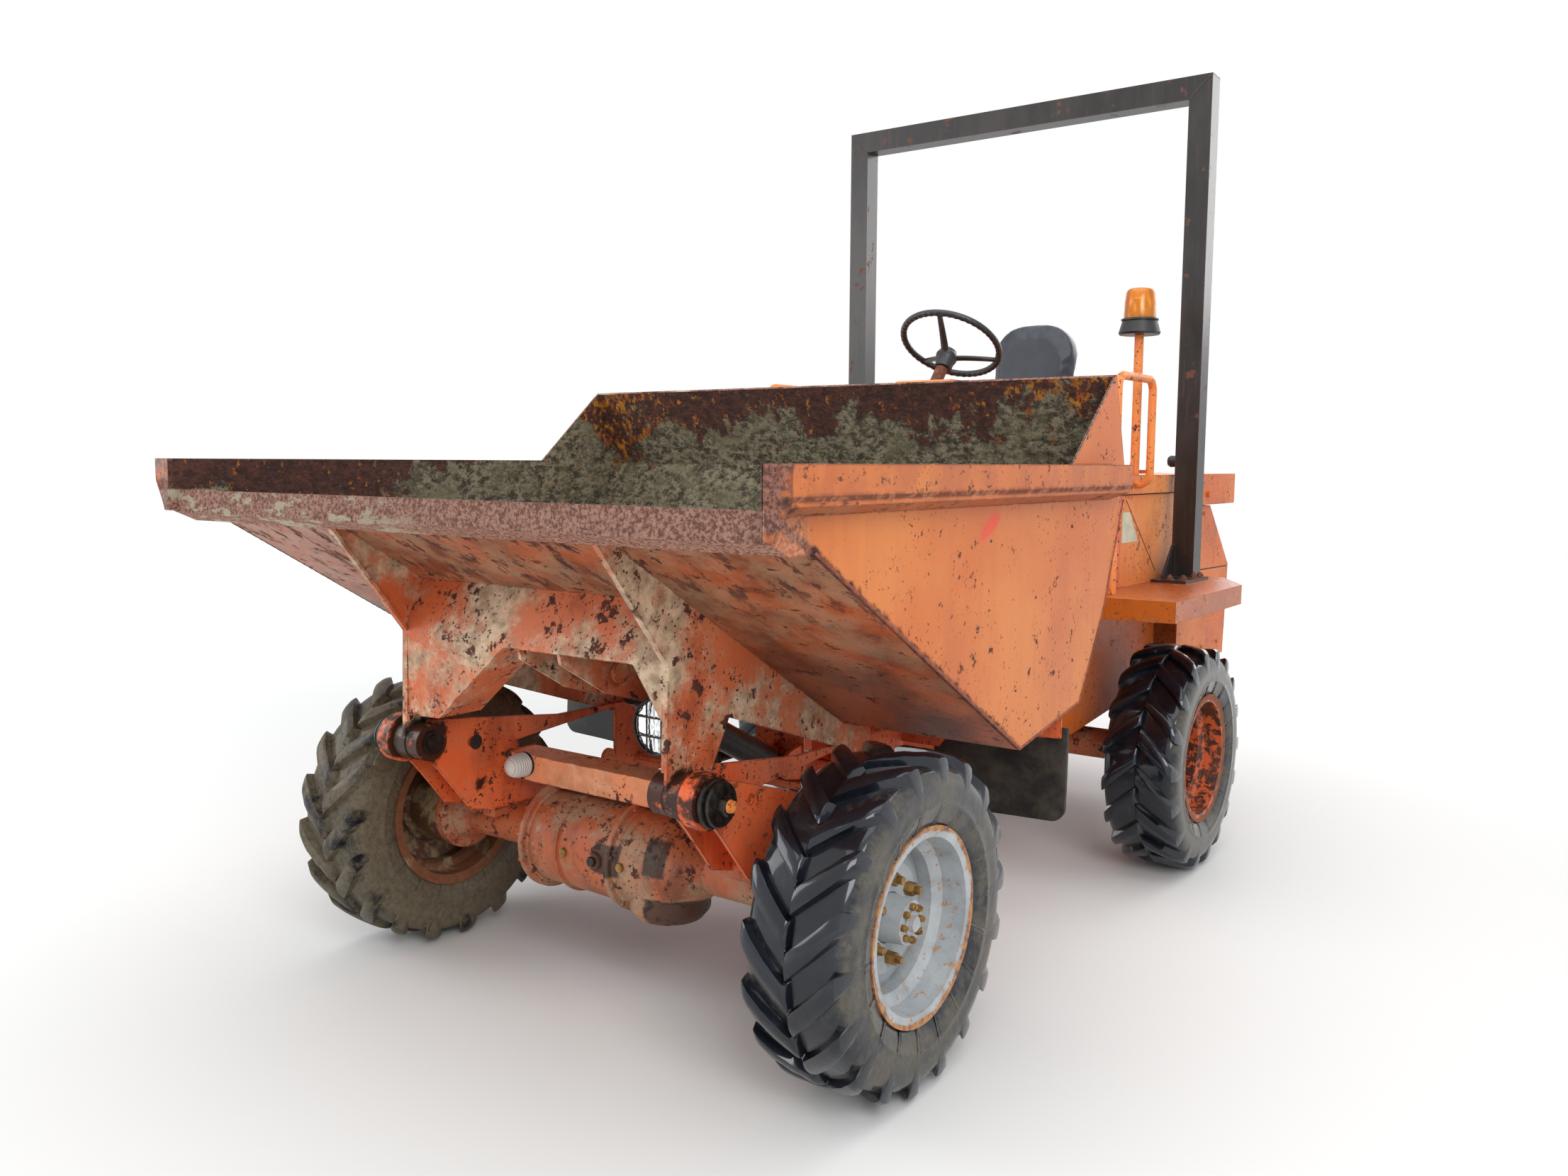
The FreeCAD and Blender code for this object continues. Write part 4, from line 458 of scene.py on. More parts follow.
# Black paint over rolled hollow section: grey bloom, scraped edges, rust bleeding from the welds
def wornBlack(name):
    look = Look(name, 0.5)
    add, noise = look.add, look.noise
    bloom = noise(190, 4, 0.6, (1, 1, 0.35))
    fine = noise(24, 5, 0.62)
    colour = add(blend, add(ramp, bloom, 0.4, 0.64), "#191716", "#2C2826")
    runs = noise(16, 3, 0.6, (1, 1, 0.05))
    colour = add(blend, add(times, add(ramp, runs, 0.56, 0.72), 0.5), colour, "#4A3129")
    edge = add(times, look.edges(5.0), add(ramp, fine, 0.40, 0.55))
    patch = noise(85, 5, 0.66, shift=(3, 3, 3))
    rusty = add(most, add(times, edge, 0.85), add(ramp, patch, 0.62, 0.70))
    colour = add(blend, rusty, colour, add(blend, fine, "#3E241D", "#7A4129"))
    rough = add(plus, 0.36, add(times, rusty, 0.4))
    return look.finish(colour, rough, [(fine, 0.4)])


# Moulded tyre rubber: wet black lugs under a thin coat of water, dried mud in the grooves and down the walls, more
# of it where muddy is high. The tyre's mesh says how much of a lug and of a wall each point is
def wetRubber(name, muddy=0.0, mudHex="#6E6656", clean=1.0):
    water = {"Coat Weight": 0.8 * clean, "Coat Roughness": 0.07}
    # the bluish specular tint is a painted reflection of a blue sky
    look = Look(name, 0.4, sockets={**water, "Specular Tint": "#D8E4FF", "Specular IOR Level": 0.18})
    add, noise = look.add, look.noise
    lift = addNode(look.tree, ("Attribute", {"attribute_name": "lift"})).outputs["Fac"]
    wall = addNode(look.tree, ("Attribute", {"attribute_name": "wall"})).outputs["Fac"]
    fine = noise(16, 5, 0.68)
    broad = noise(120, 5, 0.65, shift=(2, 5, 1))
    # the blue in these near blacks is a painted reflection of a blue sky on wet rubber
    colour = add(blend, add(ramp, broad, 0.35, 0.65), "#0A0C11", "#14181F")
    amount = add(times, add(minus, add(times, wall, 1.5), add(times, lift, clean)), 0.13)
    dust = add(plus, add(plus, broad, amount), add(times, fine, 0.25))
    dusty = add(ramp, dust, 0.66 - muddy, 0.90 - muddy)
    colour = add(blend, add(times, dusty, 0.75), colour, add(blend, fine, "#29261F", mudHex))
    rough = add(plus, 0.20, add(plus, add(times, dusty, 0.5), add(times, fine, 0.22)))
    return look.finish(colour, rough, [(broad, 3.0), (fine, 0.8), (add(times, dusty, fine), 2.5)])


# Rolled wheel steel: paint on the disc, rust eating in from the flange and along the folds
def rimPaint(name, base, shade, spot, rustFrom, rustHex, wear=0.0, mud=0.0, chipHex=None):
    look = Look(name, 0.45)
    add, noise = look.add, look.noise
    away = look.reach(spot[1], spot[2])
    fine = noise(22, 5, 0.65)
    broad = noise(110, 5, 0.66, shift=(4, 2, 6))
    colour = add(blend, add(ramp, broad, 0.35, 0.68), base, shade)
    if chipHex:
        chips = add(ramp, noise(34, 6, 0.74, shift=(5, 1, 9)), 0.50, 0.53)
        colour = add(blend, chips, colour, chipHex)
    nearFlange = add(times, add(ramp, away, rustFrom - 0.020, rustFrom + 0.010), 0.44)
    rusty = add(ramp, add(plus, add(plus, broad, nearFlange), wear), 0.68, 0.82)
    flecks = add(times, add(ramp, fine, 0.585, 0.645), add(ramp, away, rustFrom - 0.09, rustFrom - 0.02))
    rusty = look.chain(most, rusty, flecks, add(times, look.edges(4.0), add(ramp, fine, 0.42, 0.54)))
    rust = add(blend, add(ramp, fine, 0.35, 0.6), "#6B3E25", rustHex)
    colour = add(blend, add(times, rusty, 0.9), colour, rust)
    if mud:
        caked = add(ramp, add(plus, broad, mud), 0.60, 0.70)
        colour = add(blend, caked, colour, add(blend, fine, "#6B583F", "#A28C6A"))
    rough = add(plus, 0.38, add(times, rusty, 0.45))
    return look.finish(colour, rough, [(rusty, -0.7), (fine, 0.4)])


# Bare or greased steel, one tone broken by stains a fingertip across
def plainSteel(name, base, stain, rough=0.45, metal=0.9):
    look = Look(name, rough, metal)
    add, noise = look.add, look.noise
    fine = noise(18, 5, 0.65)
    colour = add(blend, add(ramp, fine, 0.38, 0.66), base, stain)
    return look.finish(colour, add(plus, rough - 0.1, add(times, fine, 0.3)), [(fine, 0.4)])


# Moulded plastic, rubber sheet or vinyl: its grain is half a millimetre and drawn at 2.2 mm so that it shows, under
# clouds of dust
def moulded(name, base, dust, rough=0.5, grain=0.25, amount=0.6, size=90):
    look = Look(name, rough)
    add, noise = look.add, look.noise
    broad = noise(size, 5, 0.65)
    fine = noise(2.2, 2, 0.5)
    colour = add(blend, add(times, add(ramp, broad, 0.42, 0.7), amount), base, dust)
    return look.finish(colour, add(plus, rough - 0.1, add(times, broad, 0.25)), [(fine, grain)])


# Clear or tinted acrylic moulding that light passes through
def lens(name, tint, rough, through):
    return Look(name, rough, sockets={"Transmission Weight": through, "IOR": 1.45}).finish(tint)


# where grease and oil lie: (y, z, radius) round a line along X, (x, y, z, radius), and (x, z, half sizes)
pivotGrease = [(*tipPivot, 0.072)]
holeGrease = (-0.46, -1.46, 0.592, 0.022)
axleOil = [(0.048, 0.446, 0.050, 0.044), (0.212, 0.474, 0.036, 0.052), (0.25, 0.318, 0.085, 0.040)]
# body panels: matt, brownish where the sun hasn't reached
fadedOrange = orangePaint("faded_orange_paint_over_steel", "#C65E1E", "#D2722E", "#96492A", 0.6)
# seat box and rails: bleached pale, nearly clean; on the seat box the paleness is also painted light that lifts it
# out of the skip's shadow
bleachedAndLitOrange = orangePaint("sun_bleached_and_painted_light_orange", "#DC7C3A", "#E49254", "#A85A34", 0.5)
# decks: the same paint under rain, darker and shiny
wetOrange = orangePaint("rain_wet_orange_deck_paint", "#9E4812", "#B0581C", "#6E3D25", 0.9, wet=0.16)
# chassis: redder and dirtier, with black grease at its pivot; its paint is also lightened as painted light, lifting
# the frame out of the shade under the skip
redOrange = orangePaint(
    "dirty_red_orange_paint", "#DE6030", "#E67648", "#983E22", 1.2, 0.16, grease=pivotGrease + [holeGrease]
)
# front beam: pinkish and pitted, splashed with pale cement
beamOrange = orangePaint("pitted_orange_beam_paint", "#F08A58", "#F29E70", "#B86038", 1.4, 0.32, "#DCC8A6")
# skip's bearer: nearly hidden by the cement that has run down it
cradleOrange = orangePaint(
    "cement_filmed_orange_paint", "#C86238", "#D4764C", "#843E28", 1.4, 0.88, "#DAC4A4", grease=pivotGrease
)
# axles: brown with road dirt, black where oil has crept out of the plugs
axlePaint = orangePaint(
    "oily_orange_paint_on_cast_iron", "#A8522F", "#B9653F", "#4A3226", 1.4, 0.60, "#A08E74", oil=axleOil
)
skipPaint = skipSteel("faded_skip_paint_and_set_cement")
rollBlack = wornBlack("worn_black_paint_on_hollow_section")
rubberWet = wetRubber("wet_tyre_rubber")  # near black, its blue tint a painted sky reflection, with a shine on the lugs
rubberMuddy = wetRubber("mud_caked_tyre_rubber", 0.24, "#94856A", 0.25)  # dull, tan up to the lugs' edges
flapRubber = moulded("muddy_rubber_sheet", "#121214", "#4A4438", 0.5, 0.3, 0.8, 150)  # dark, dried splashes
blackPlastic = moulded("black_moulded_plastic", "#17181B", "#2B2B2D", 0.4)  # even, half shiny
seatVinyl = moulded("blue_black_seat_vinyl", "#282D36", "#3A3F4A", 0.42, 0.35)  # soft shine over a leather grain
wheelRim = moulded("black_steering_wheel_moulding", "#17181C", "#33353B", 0.34, 0.2)  # polished by hands
stickerLook = moulded("sun_bleached_blank_sticker", "#C9C6AC", "#8E8B62", 0.5, 0.1)  # a pale square, nothing on it
chrome = plainSteel("chromed_ram_rod", "#B9BCC0", "#8B8D90", 0.22, 1.0)  # near mirror
greasy = plainSteel("greasy_black_steel", "#120F0D", "#2E2620", 0.3, 0.3)  # wet black
nutSteel = plainSteel("brown_gold_plated_nuts", "#7A5B33", "#A88047", 0.45, 0.6)  # yellow glints
rustySteel = plainSteel("rust_brown_steel", "#4F2D20", "#80492E", 0.7, 0.2)  # dull brown
mirrorSteel = plainSteel("lamp_reflector_plating", "#E0E3E6", "#C0C4C8", 0.16, 1.0)  # bright behind the glass
castBlock = plainSteel("engine_cast_iron", "#3A3B3C", "#57504A", 0.6, 0.4)  # dark grey with oil
wornWeld = plainSteel("painted_weld_bead", "#8E4426", "#5A2E20", 0.6, 0.0)  # rust brown line along a fold
paintedShadowLook = plainSteel("shadowed_panel_gap", "#1C120E", "#33201A", 0.8, 0.0)  # painted shadow: the dark behind a joint, and in a hole
amber = lens("amber_lamp_moulding", "#E88A18", 0.16, 0.60)  # glows where light comes through
clearLens = lens("clear_lamp_glass", "#F0F3F4", 0.05, 0.95)  # seen only by its shine and flutes
milkLens = lens("ribbed_clear_lamp_moulding", "#EDE8DE", 0.22, 0.35)  # whitish, its ribs catch the light
print("materials made")

frontY, rearY, axleZ, wheelX = -1.308, 0.872, 0.43, 0.866
wheelMiddles = {
    "front_left": (wheelX, frontY, axleZ), "front_right": (-wheelX, frontY, axleZ),
    "rear_left": (wheelX, rearY, axleZ), "rear_right": (-wheelX, rearY, axleZ),
}
# name, paint, its shade, where rust starts from the middle, rust, wear, mud, chips of an older paint
rimSettings = {
    "front_left": ("grey_wheel_paint_with_rust_rim", "#A9ADAF", "#8F9497", 0.240, "#B27A42"),
    "front_right": ("brown_rusted_wheel_with_mud", "#5B3B2A", "#472C1D", 0.20, "#7A4B2B", 0.05, 0.10),
    "rear_left": ("orange_wheel_paint_flaking_to_rust", "#3C2720", "#5A3424", 0.23, "#8A4B28", 0.0, 0.0, "#C65A2E"),
    "rear_right": ("old_orange_wheel_paint", "#4A2C22", "#5A3424", 0.23, "#8A4B28", 0.0, 0.0, "#B5532C"),
}
rimLooks = {
    corner: rimPaint(*paint[:3], wheelMiddles[corner], *paint[3:]) for corner, paint in rimSettings.items()
}

finishes = {
    skipPaint: ["skip_tub"],
    cradleOrange: ["skip_cradle"],
    redOrange: ["front_frame", "centre_pivot", "rear_frame", "flap_bars"],
    axlePaint: ["front_axle", "rear_axle"],
    fadedOrange: [
        "rear_hull", "under_sides", "front_bulkhead", "tail_weight", "bonnet", "bonnet_hinges", "tow_hitch",
    ],
    # the seat box takes the pale paint as painted light against the skip's shadow
    bleachedAndLitOrange: ["seat_box", "top_rails", "console", "beacon_pole", "grab_rails"],
    wetOrange: ["running_boards", "foot_deck"],
    rollBlack: ["roll_bar"],
    greasy: ["skip_pins", "tip_ram_barrel", "steer_ram_barrel", "headlamp_guard"],
    chrome: ["tip_ram_rod", "steer_ram_rod"],
    flapRubber: ["wheel_flaps"],
    blackPlastic: ["beacon_base", "seat_pan", "seat_stay", "post_lamp", "headlamp"],
    rustySteel: ["steering_column"],
    milkLens: ["marker_lamps"],
    amber: ["beacon_dome"],
    castBlock: ["engine_block"],
    seatVinyl: ["seat_cushion", "seat_back"],
    wheelRim: ["steering_wheel"],
    rubberWet: [corner + "_tyre" for corner in wheelMiddles],
}
for corner in wheelMiddles:
    finishes[rimLooks[corner]] = [corner + "_rim", corner + "_hub"]
for material, names in finishes.items():
    for name in names:
        mesh = nodes[name].data
        mesh.materials.clear()
        mesh.materials.append(material)
        mesh.shade_smooth()
        mesh.set_sharp_from_angle(angle=math.radians(28))
# the front beam is one solid with the frame's plates, so its faces take their paint by where they lie
beamMiddle, beamHalf = np.array([0, -1.286, 0.624]), np.array([0.456, 0.058, 0.044])
frameMesh = nodes["front_frame"].data
frameMesh.materials.append(beamOrange)
faceMiddles = np.zeros(len(frameMesh.polygons) * 3)
frameMesh.polygons.foreach_get("center", faceMiddles)
onBeam = (np.abs(faceMiddles.reshape(-1, 3) - beamMiddle) < beamHalf).all(1)
frameMesh.polygons.foreach_set("material_index", onBeam.astype(np.int32))
print("CAD nodes without a finish:", sorted(set(nodes) - {n for names in finishes.values() for n in names}))


# ---- tyres

tyreSettings = {
    "pitches": 18, "pitchColumns": 150, "radius": 0.430, "halfTop": 31.0, "halfFoot": 36.5, "crown": 0.0045,
    "scrub": 0.0011,
    # (x, radius) across the wheel from the middle to the tread's edge, millimetres: carcass, then the lug's own line
    "carcass": [(0, 404), (4, 404), (9, 404), (20, 404), (35, 403.8), (55, 403), (75, 402), (95, 400), (110, 397),
                (122, 391), (131, 382), (136, 370), (139, 356), (140, 342)],
    "lug": [(0, 426), (4, 429), (9, 430), (20, 430), (35, 430), (55, 429.7), (75, 429), (95, 427.8), (110, 426),
            (121, 423), (130, 417), (135.5, 398), (138.5, 374), (140, 352)],
    # both go on down the wall to the bead
    "wall": [(140, 326), (139.2, 308), (140.6, 304), (140.6, 300), (138.4, 296), (134, 280), (129, 266), (124, 256),
             (120, 250), (113, 244)],
    # columns across half a pitch, close together up the lug's flank
    "phases": [0, 10, 20, 27, 31, 32.8, 34.6, 36.5, 38.5, 40.4, 42.2, 44, 48, 55, 65, 75],
    # on the walls a lug narrows to this share of its width, by the carcass radius
    "taper": ([0.326, 0.352, 0.382, 0.397, 0.404], [0.34, 0.46, 0.84, 0.97, 1.0]),
    # how far a lug is swept back round the wheel, by the distance from the middle
    "sweep": ([0, 0.07, 0.14], [-0.07, -0.005, 0.07]),
}


# Tyre as one closed-round surface. Across: the carcass line and the lug line, blended by how much a lug is there.
# Round: angle = column + swept(|x|), so the columns lean with the lugs. A lug is there where the column's distance
# from its middle is under the half width; the far half is shifted by half a pitch.
def tyre(corner, s):
    side = 1 if "left" in corner else -1
    front = "front" in corner
    middle = np.array(wheelMiddles[corner])
    whole = s["pitchColumns"]
    half, foot = np.array(s["phases"]), s["halfFoot"]
    ring = np.concatenate([half, whole - half[-2:0:-1]])
    pitch = 2 * np.pi / s["pitches"]
    column = (np.arange(s["pitches"])[:, None] + ring[None] / whole).reshape(-1)
    carcass, lugLine = (np.array(s[line] + s["wall"]) / 1000 for line in ("carcass", "lug"))
    across = np.concatenate([np.arange(len(carcass))[::-1], np.arange(1, len(carcass))])
    sign = np.concatenate([-np.ones(len(carcass)), np.ones(len(carcass) - 1)])
    x = carcass[across, 0]
    taper = np.interp(carcass[across, 1], *s["taper"])[:, None]

    # how much of a lug is there: 1 within the top's half width, falling to 0 at the foot's
    def share(shift):
        fromMiddle = np.abs(((column + shift + 0.5) % 1) - 0.5) * whole
        return 1 - np.clip((fromMiddle - s["halfTop"]) / (foot - s["halfTop"]), 0, 1)

    # a lug's columns close up about its middle by the taper, and the gap's columns open to match
    def closedUp(centre):
        off = ((column % 1) * whole - centre + whole / 2) % whole - whole / 2
        away = np.abs(off)[None]
        opened = foot * taper + (away - foot) * (whole / 2 - foot * taper) / (whole / 2 - foot)
        moved = np.where(away <= foot, away * taper, opened)
        return column[None] + np.sign(off) * (moved - away) / whole, np.minimum(away / s["halfTop"], 1)

    outboard = (sign * x)[:, None]
    onNear = np.clip((outboard + 0.0065) / 0.004, 0, 1)  # each side's lugs stop just past the middle
    onFar = np.clip((-outboard + 0.0065) / 0.004, 0, 1)
    lift = np.maximum(share(0.0)[None] * onNear, share(0.5)[None] * onFar)
    swept = np.interp(x, *s["sweep"]) / s["radius"]
    (nearColumn, nearOff), (farColumn, farOff) = closedUp(0), closedUp(whole / 2)
    nearSide = sign[:, None] > 0
    angle = np.where(nearSide, nearColumn, farColumn) * pitch + swept[:, None]
    px = sign[:, None] * (carcass[across, :1] * (1 - lift) + lugLine[across, :1] * lift)
    pr = carcass[across, 1:] * (1 - lift) + lugLine[across, 1:] * lift
    # crests are crowned across the lug (distance squared) and scrubbed unevenly round the wheel (sine times sine)
    scrub = 1 + np.sin(angle * 7 + 2) * np.sin(angle * 31 + 90 * x[:, None])
    pr = pr - lift * (s["crown"] * np.where(nearSide, nearOff, farOff) ** 2 + s["scrub"] * scrub)
    turn = angle if front else -angle
    points = np.stack([middle[0] + side * px, middle[1] + pr * np.sin(turn), middle[2] + pr * np.cos(turn)], 2)
    quads = gridQuads(len(across), len(column), wrapColumns=True)
    if (side > 0) == front:
        quads = quads[:, ::-1]
    lift = lift * np.interp(carcass[across, 1], [0.338, 0.362], [0, 1])[:, None]  # no clean lug low on the wall
    wall = np.clip((np.repeat(x[:, None], len(column), 1) - 0.115) / 0.02, 0, 1) * (1 - lift)
    rubber = rubberMuddy if corner == "front_right" else rubberWet
    piece = meshObject(corner + "_lugged_tyre", points, quads, rubber, 30.0, {"lift": lift, "wall": wall})
    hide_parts(corner + "_tyre")
    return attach(piece, corner + "_wheel")


for corner in wheelMiddles:
    tyre(corner, tyreSettings)
print("tyres made")

# ---- lamps

frontBody, rearBody, skipBody = "front_chassis", "rear_chassis", "skip"

# millimetres, but for the places in metres
headlampSettings = {
    "spot": (0.215, -1.423, 0.842), "depth": 52, "mouth": 72, "flutes": 40,
    "shell": [(0, 88), (24, 88), (52, 70), (76, 22), (82, 14), (80, 3), (77, 0), (72, 1)],
    "glass": [0, 12, 24, 36, 48, 60, 68, 72, 72.5],
    "bulb": [(0, 16), (6, 18), (10, 26), (8, 40), (8, 52)],
    "stalk": [(16, -20), (16, 160), (0, 160)], "stalkOff": (0, 0.085, -0.168),
}


# (radius, height) pairs in millimetres turned about Z, in metres
def turnedMillimetres(pairs, steps):
    return turnedPoints([(r / 1000, h / 1000) for r, h in pairs], steps)


# Headlamp: bowl following the outer shell, inside it a parabola of plating whose depth falls with radius squared,
# and a glass that bellies with radius to the fourth and is fluted by a cosine of x
def headlamp(s):
    place = stand(s["spot"], (0, 1, 0))
    mouth = s["mouth"]
    bowl = [(r, 2 + s["depth"] * (1 - (r / mouth) ** 2)) for r in np.linspace(mouth, 4, 9)] + [(0, 2 + s["depth"])]
    outside = copies("headlamp_shell", turnedMillimetres(s["shell"], 40), [place], blackPlastic, frontBody)
    copies("headlamp_reflector", turnedMillimetres(bowl, 40), [place], mirrorSteel, frontBody)
    radii = np.array(s["glass"])[:, None] / 1000
    angle = np.arange(s["flutes"] * 2) * np.pi / s["flutes"]
    x, y = radii * np.cos(angle), radii * np.sin(angle)
    depth = -0.0022 + 0.0045 * (radii / radii[-1]) ** 4 + 0.0006 * np.cos(np.round(x / 0.009) * np.pi)
    glass = np.stack([x, y, depth], 2), gridQuads(len(radii), len(angle), wrapColumns=True)[:, ::-1]
    copies("headlamp_glass", glass, [place], clearLens, frontBody, 60.0)
    copies("headlamp_bulb", turnedMillimetres(s["bulb"], 16), [place], milkLens, frontBody)
    foot = stand([a + b for a, b in zip(s["spot"], s["stalkOff"])])
    copies("headlamp_stalk", turnedMillimetres(s["stalk"], 16), [foot], blackPlastic, frontBody)
    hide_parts("headlamp")


headlamp(headlampSettings)

markerSettings = {
    "spots": [(0.388, -1.341, 0.635), (-0.388, -1.341, 0.635)], "length": 0.066, "foot": 0.036, "rib": 0.0015,
    "ribs": 8, "base": [(0, 0), (38, 0), (38, 8), (34, 11.5), (0, 11.5)], "baseHeight": 0.008,
}


# Marker lamps: a beehive lens, radius = foot * root(1 - 0.15 height - 0.85 height^4) + ribs as a cosine of height
def markerLamps(s):
    t = np.linspace(0, 1, 73)
    ribs = s["rib"] * np.cos(t * s["ribs"] * 2 * np.pi) * (t < 0.93)
    radius = s["foot"] * np.sqrt(np.clip(1 - (0.15 * t + 0.85 * t ** 4), 0, 1)) + ribs
    radius[-1] = 0
    profile = np.stack([radius, t * s["length"] + s["baseHeight"]], 1)
    places = [stand(spot, (0, -1, 0)) for spot in s["spots"]]
    domes = copies("marker_lens", turnedPoints(profile, 36), places, milkLens, frontBody, 60.0)
    copies("marker_base", turnedMillimetres(s["base"], 36), places, blackPlastic, frontBody)
    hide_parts("marker_lamps")


markerLamps(markerSettings)

beaconSettings = {
    "spot": (0.690, 0.817), "foot": 2.104, "top": 2.2235, "wide": 0.0615, "narrow": 0.052, "steps": 96,
    "mirror": [(0, 14), (26, 16), (30, 50), (22, 85), (0, 92)], "mirrorDrop": 0.008,
    "collar": [(66, -4), (70, -2), (70, 3), (64, 6)],
}


# Beacon: a tapering dome turned about its pole, a half-round mirror inside it and a collar round its foot
def beacon(s):
    spot = (*s["spot"], s["foot"])
    height, wide, narrow = s["top"] - s["foot"], s["wide"], s["narrow"]
    profile = [
        (wide, 0), (wide + 0.001, 0.004), (wide - 0.001, 0.008), (narrow + 0.006, height * 0.55),
        (narrow + 0.002, height - 0.018), (narrow - 0.003, height - 0.007), (narrow - 0.012, height - 0.002),
        (0.02, height), (0, height),
    ]
    dome = copies("beacon_lens", turnedPoints(profile, s["steps"]), [stand(spot)], amber, rearBody, 50.0)
    inside = [stand((*s["spot"], s["foot"] - s["mirrorDrop"]))]
    copies("beacon_mirror", turnedMillimetres(s["mirror"], 20), inside, mirrorSteel, rearBody)
    copies("beacon_collar", turnedMillimetres(s["collar"], 48), [stand(spot)], blackPlastic, rearBody)
    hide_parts("beacon_dome")


beacon(beaconSettings)
print("lamps made")

# ---- small steel


# hexagon nut with a chamfered top, and a bolt end standing out of it; a turned profile of six steps
def hexShape(across, height, stud=0.0):
    r, bore = across / math.sqrt(3), 0.35 * across
    profile = [(r, 0), (r, height * 0.8), (r * 0.88, height), (bore, height)]
    top = [(bore, height), (0.33 * across, height + stud), (0, height + stud)] if stud else [(0, height)]
    return turnedPoints(profile + top, 6)


# round boss or plug of a radius and height, edge eased
def bossShape(radius, height, steps=20):
    return turnedPoints([(radius, 0), (radius, height * 0.7), (radius * 0.9, height), (0, height)], steps)


# places round a circle in the wheel's plane: point = middle + radius (sin a, cos a), facing outboard
def wheelPlaces(corner, out, radius, count, start=0.0):
    x, y, z = wheelMiddles[corner]
    side = 1 if x > 0 else -1
    angle = [math.radians(start) + i * 2 * math.pi / count for i in range(count)]
    return [
        stand((x + side * out, y + radius * math.sin(a), z + radius * math.cos(a)), (side, 0, 0), i * 17)
        for i, a in enumerate(angle)
    ]


# metres outboard of the wheel's middle to the disc's face and the hub's nose; the rest in millimetres
wheelSettings = {
    "faces": {"front": (0.018, 0.082), "rear": (-0.050, 0.020)}, "nutCircle": 0.102, "noseCircle": 0.042,
    "cap": [(30, 0), (30, 4), (22, 6), (20, 16), (0, 18)],
    "valve": [(4, -4), (4, 26), (5.5, 28), (5.5, 40), (0, 40)], "valveOff": (0.060, -0.150, 0.132),
}
for corner, (x, y, z) in wheelMiddles.items():
    s, side, body = wheelSettings, 1 if x > 0 else -1, corner + "_wheel"
    disc, nose = s["faces"][corner.split("_")[0]]
    steel = nutSteel if corner == "front_left" else rustySteel
    nuts = wheelPlaces(corner, disc, s["nutCircle"], 6, 60)
    copies(corner + "_wheel_nuts", hexShape(0.032, 0.026, 0.016), nuts, steel, body)
    bolts = wheelPlaces(corner, nose, s["noseCircle"], 8)
    copies(corner + "_nose_bolts", hexShape(0.016, 0.012, 0.005), bolts, steel, body)
    cap = turnedMillimetres(s["cap"], 8)
    copies(corner + "_cap", cap, wheelPlaces(corner, nose, 0.0, 1), rimLooks[corner], body)
    out, back, above = s["valveOff"]
    valve = stand((x + side * out, y + back, z + above), (side, 0.4, -0.4))
    copies(corner + "_valve", turnedMillimetres(s["valve"], 12), [valve], blackPlastic, body)

# pin ends at the skip pivots: greasy collar, castle nut and pin end
collar = [(0, -24), (60, -24), (63, -18), (60, -10), (50, -7), (50, -3), (57, 1), (54, 8), (36, 11), (0, 11)]
pinPlaces = [stand((side * 0.622, *tipPivot), (side, 0, 0), 15) for side in (1, -1)]
pinTops = [place @ stand((0, 0, 0.010)) for place in pinPlaces]
copies("pivot_collars", turnedMillimetres(collar, 28), pinPlaces, greasy, skipBody, 30.0)
copies("pivot_nuts", hexShape(0.046, 0.020), pinTops, greasy, skipBody)
copies("pivot_ends", bossShape(0.017, 0.028, 16), pinTops, bleachedAndLitOrange, skipBody)

# axle casing: bolted flanges, a cast rib, filler plug on a raised boss, ring of bolts under the bowl
axleLine = (frontY, axleZ)
casingSettings = {
    "flange": [(130, -10), (156, -10), (159, -7), (159, 7), (156, 10), (130, 10)], "flangesAt": (-0.282, 0.063),
    "rib": [(130, -6), (145.5, -5), (147, 0), (145.5, 5), (130, 6)], "ribAt": -0.150,
    "boltCircle": 0.1495, "boltFaces": ((0.073, 1), (-0.292, -1)), "plugsAt": (0.006, -0.118, 0.104),
    "plugOut": 0.138, "bowl": (0.165, 0.104, 0.3015), "hubCircle": 0.106, "hubFace": 0.692,
}


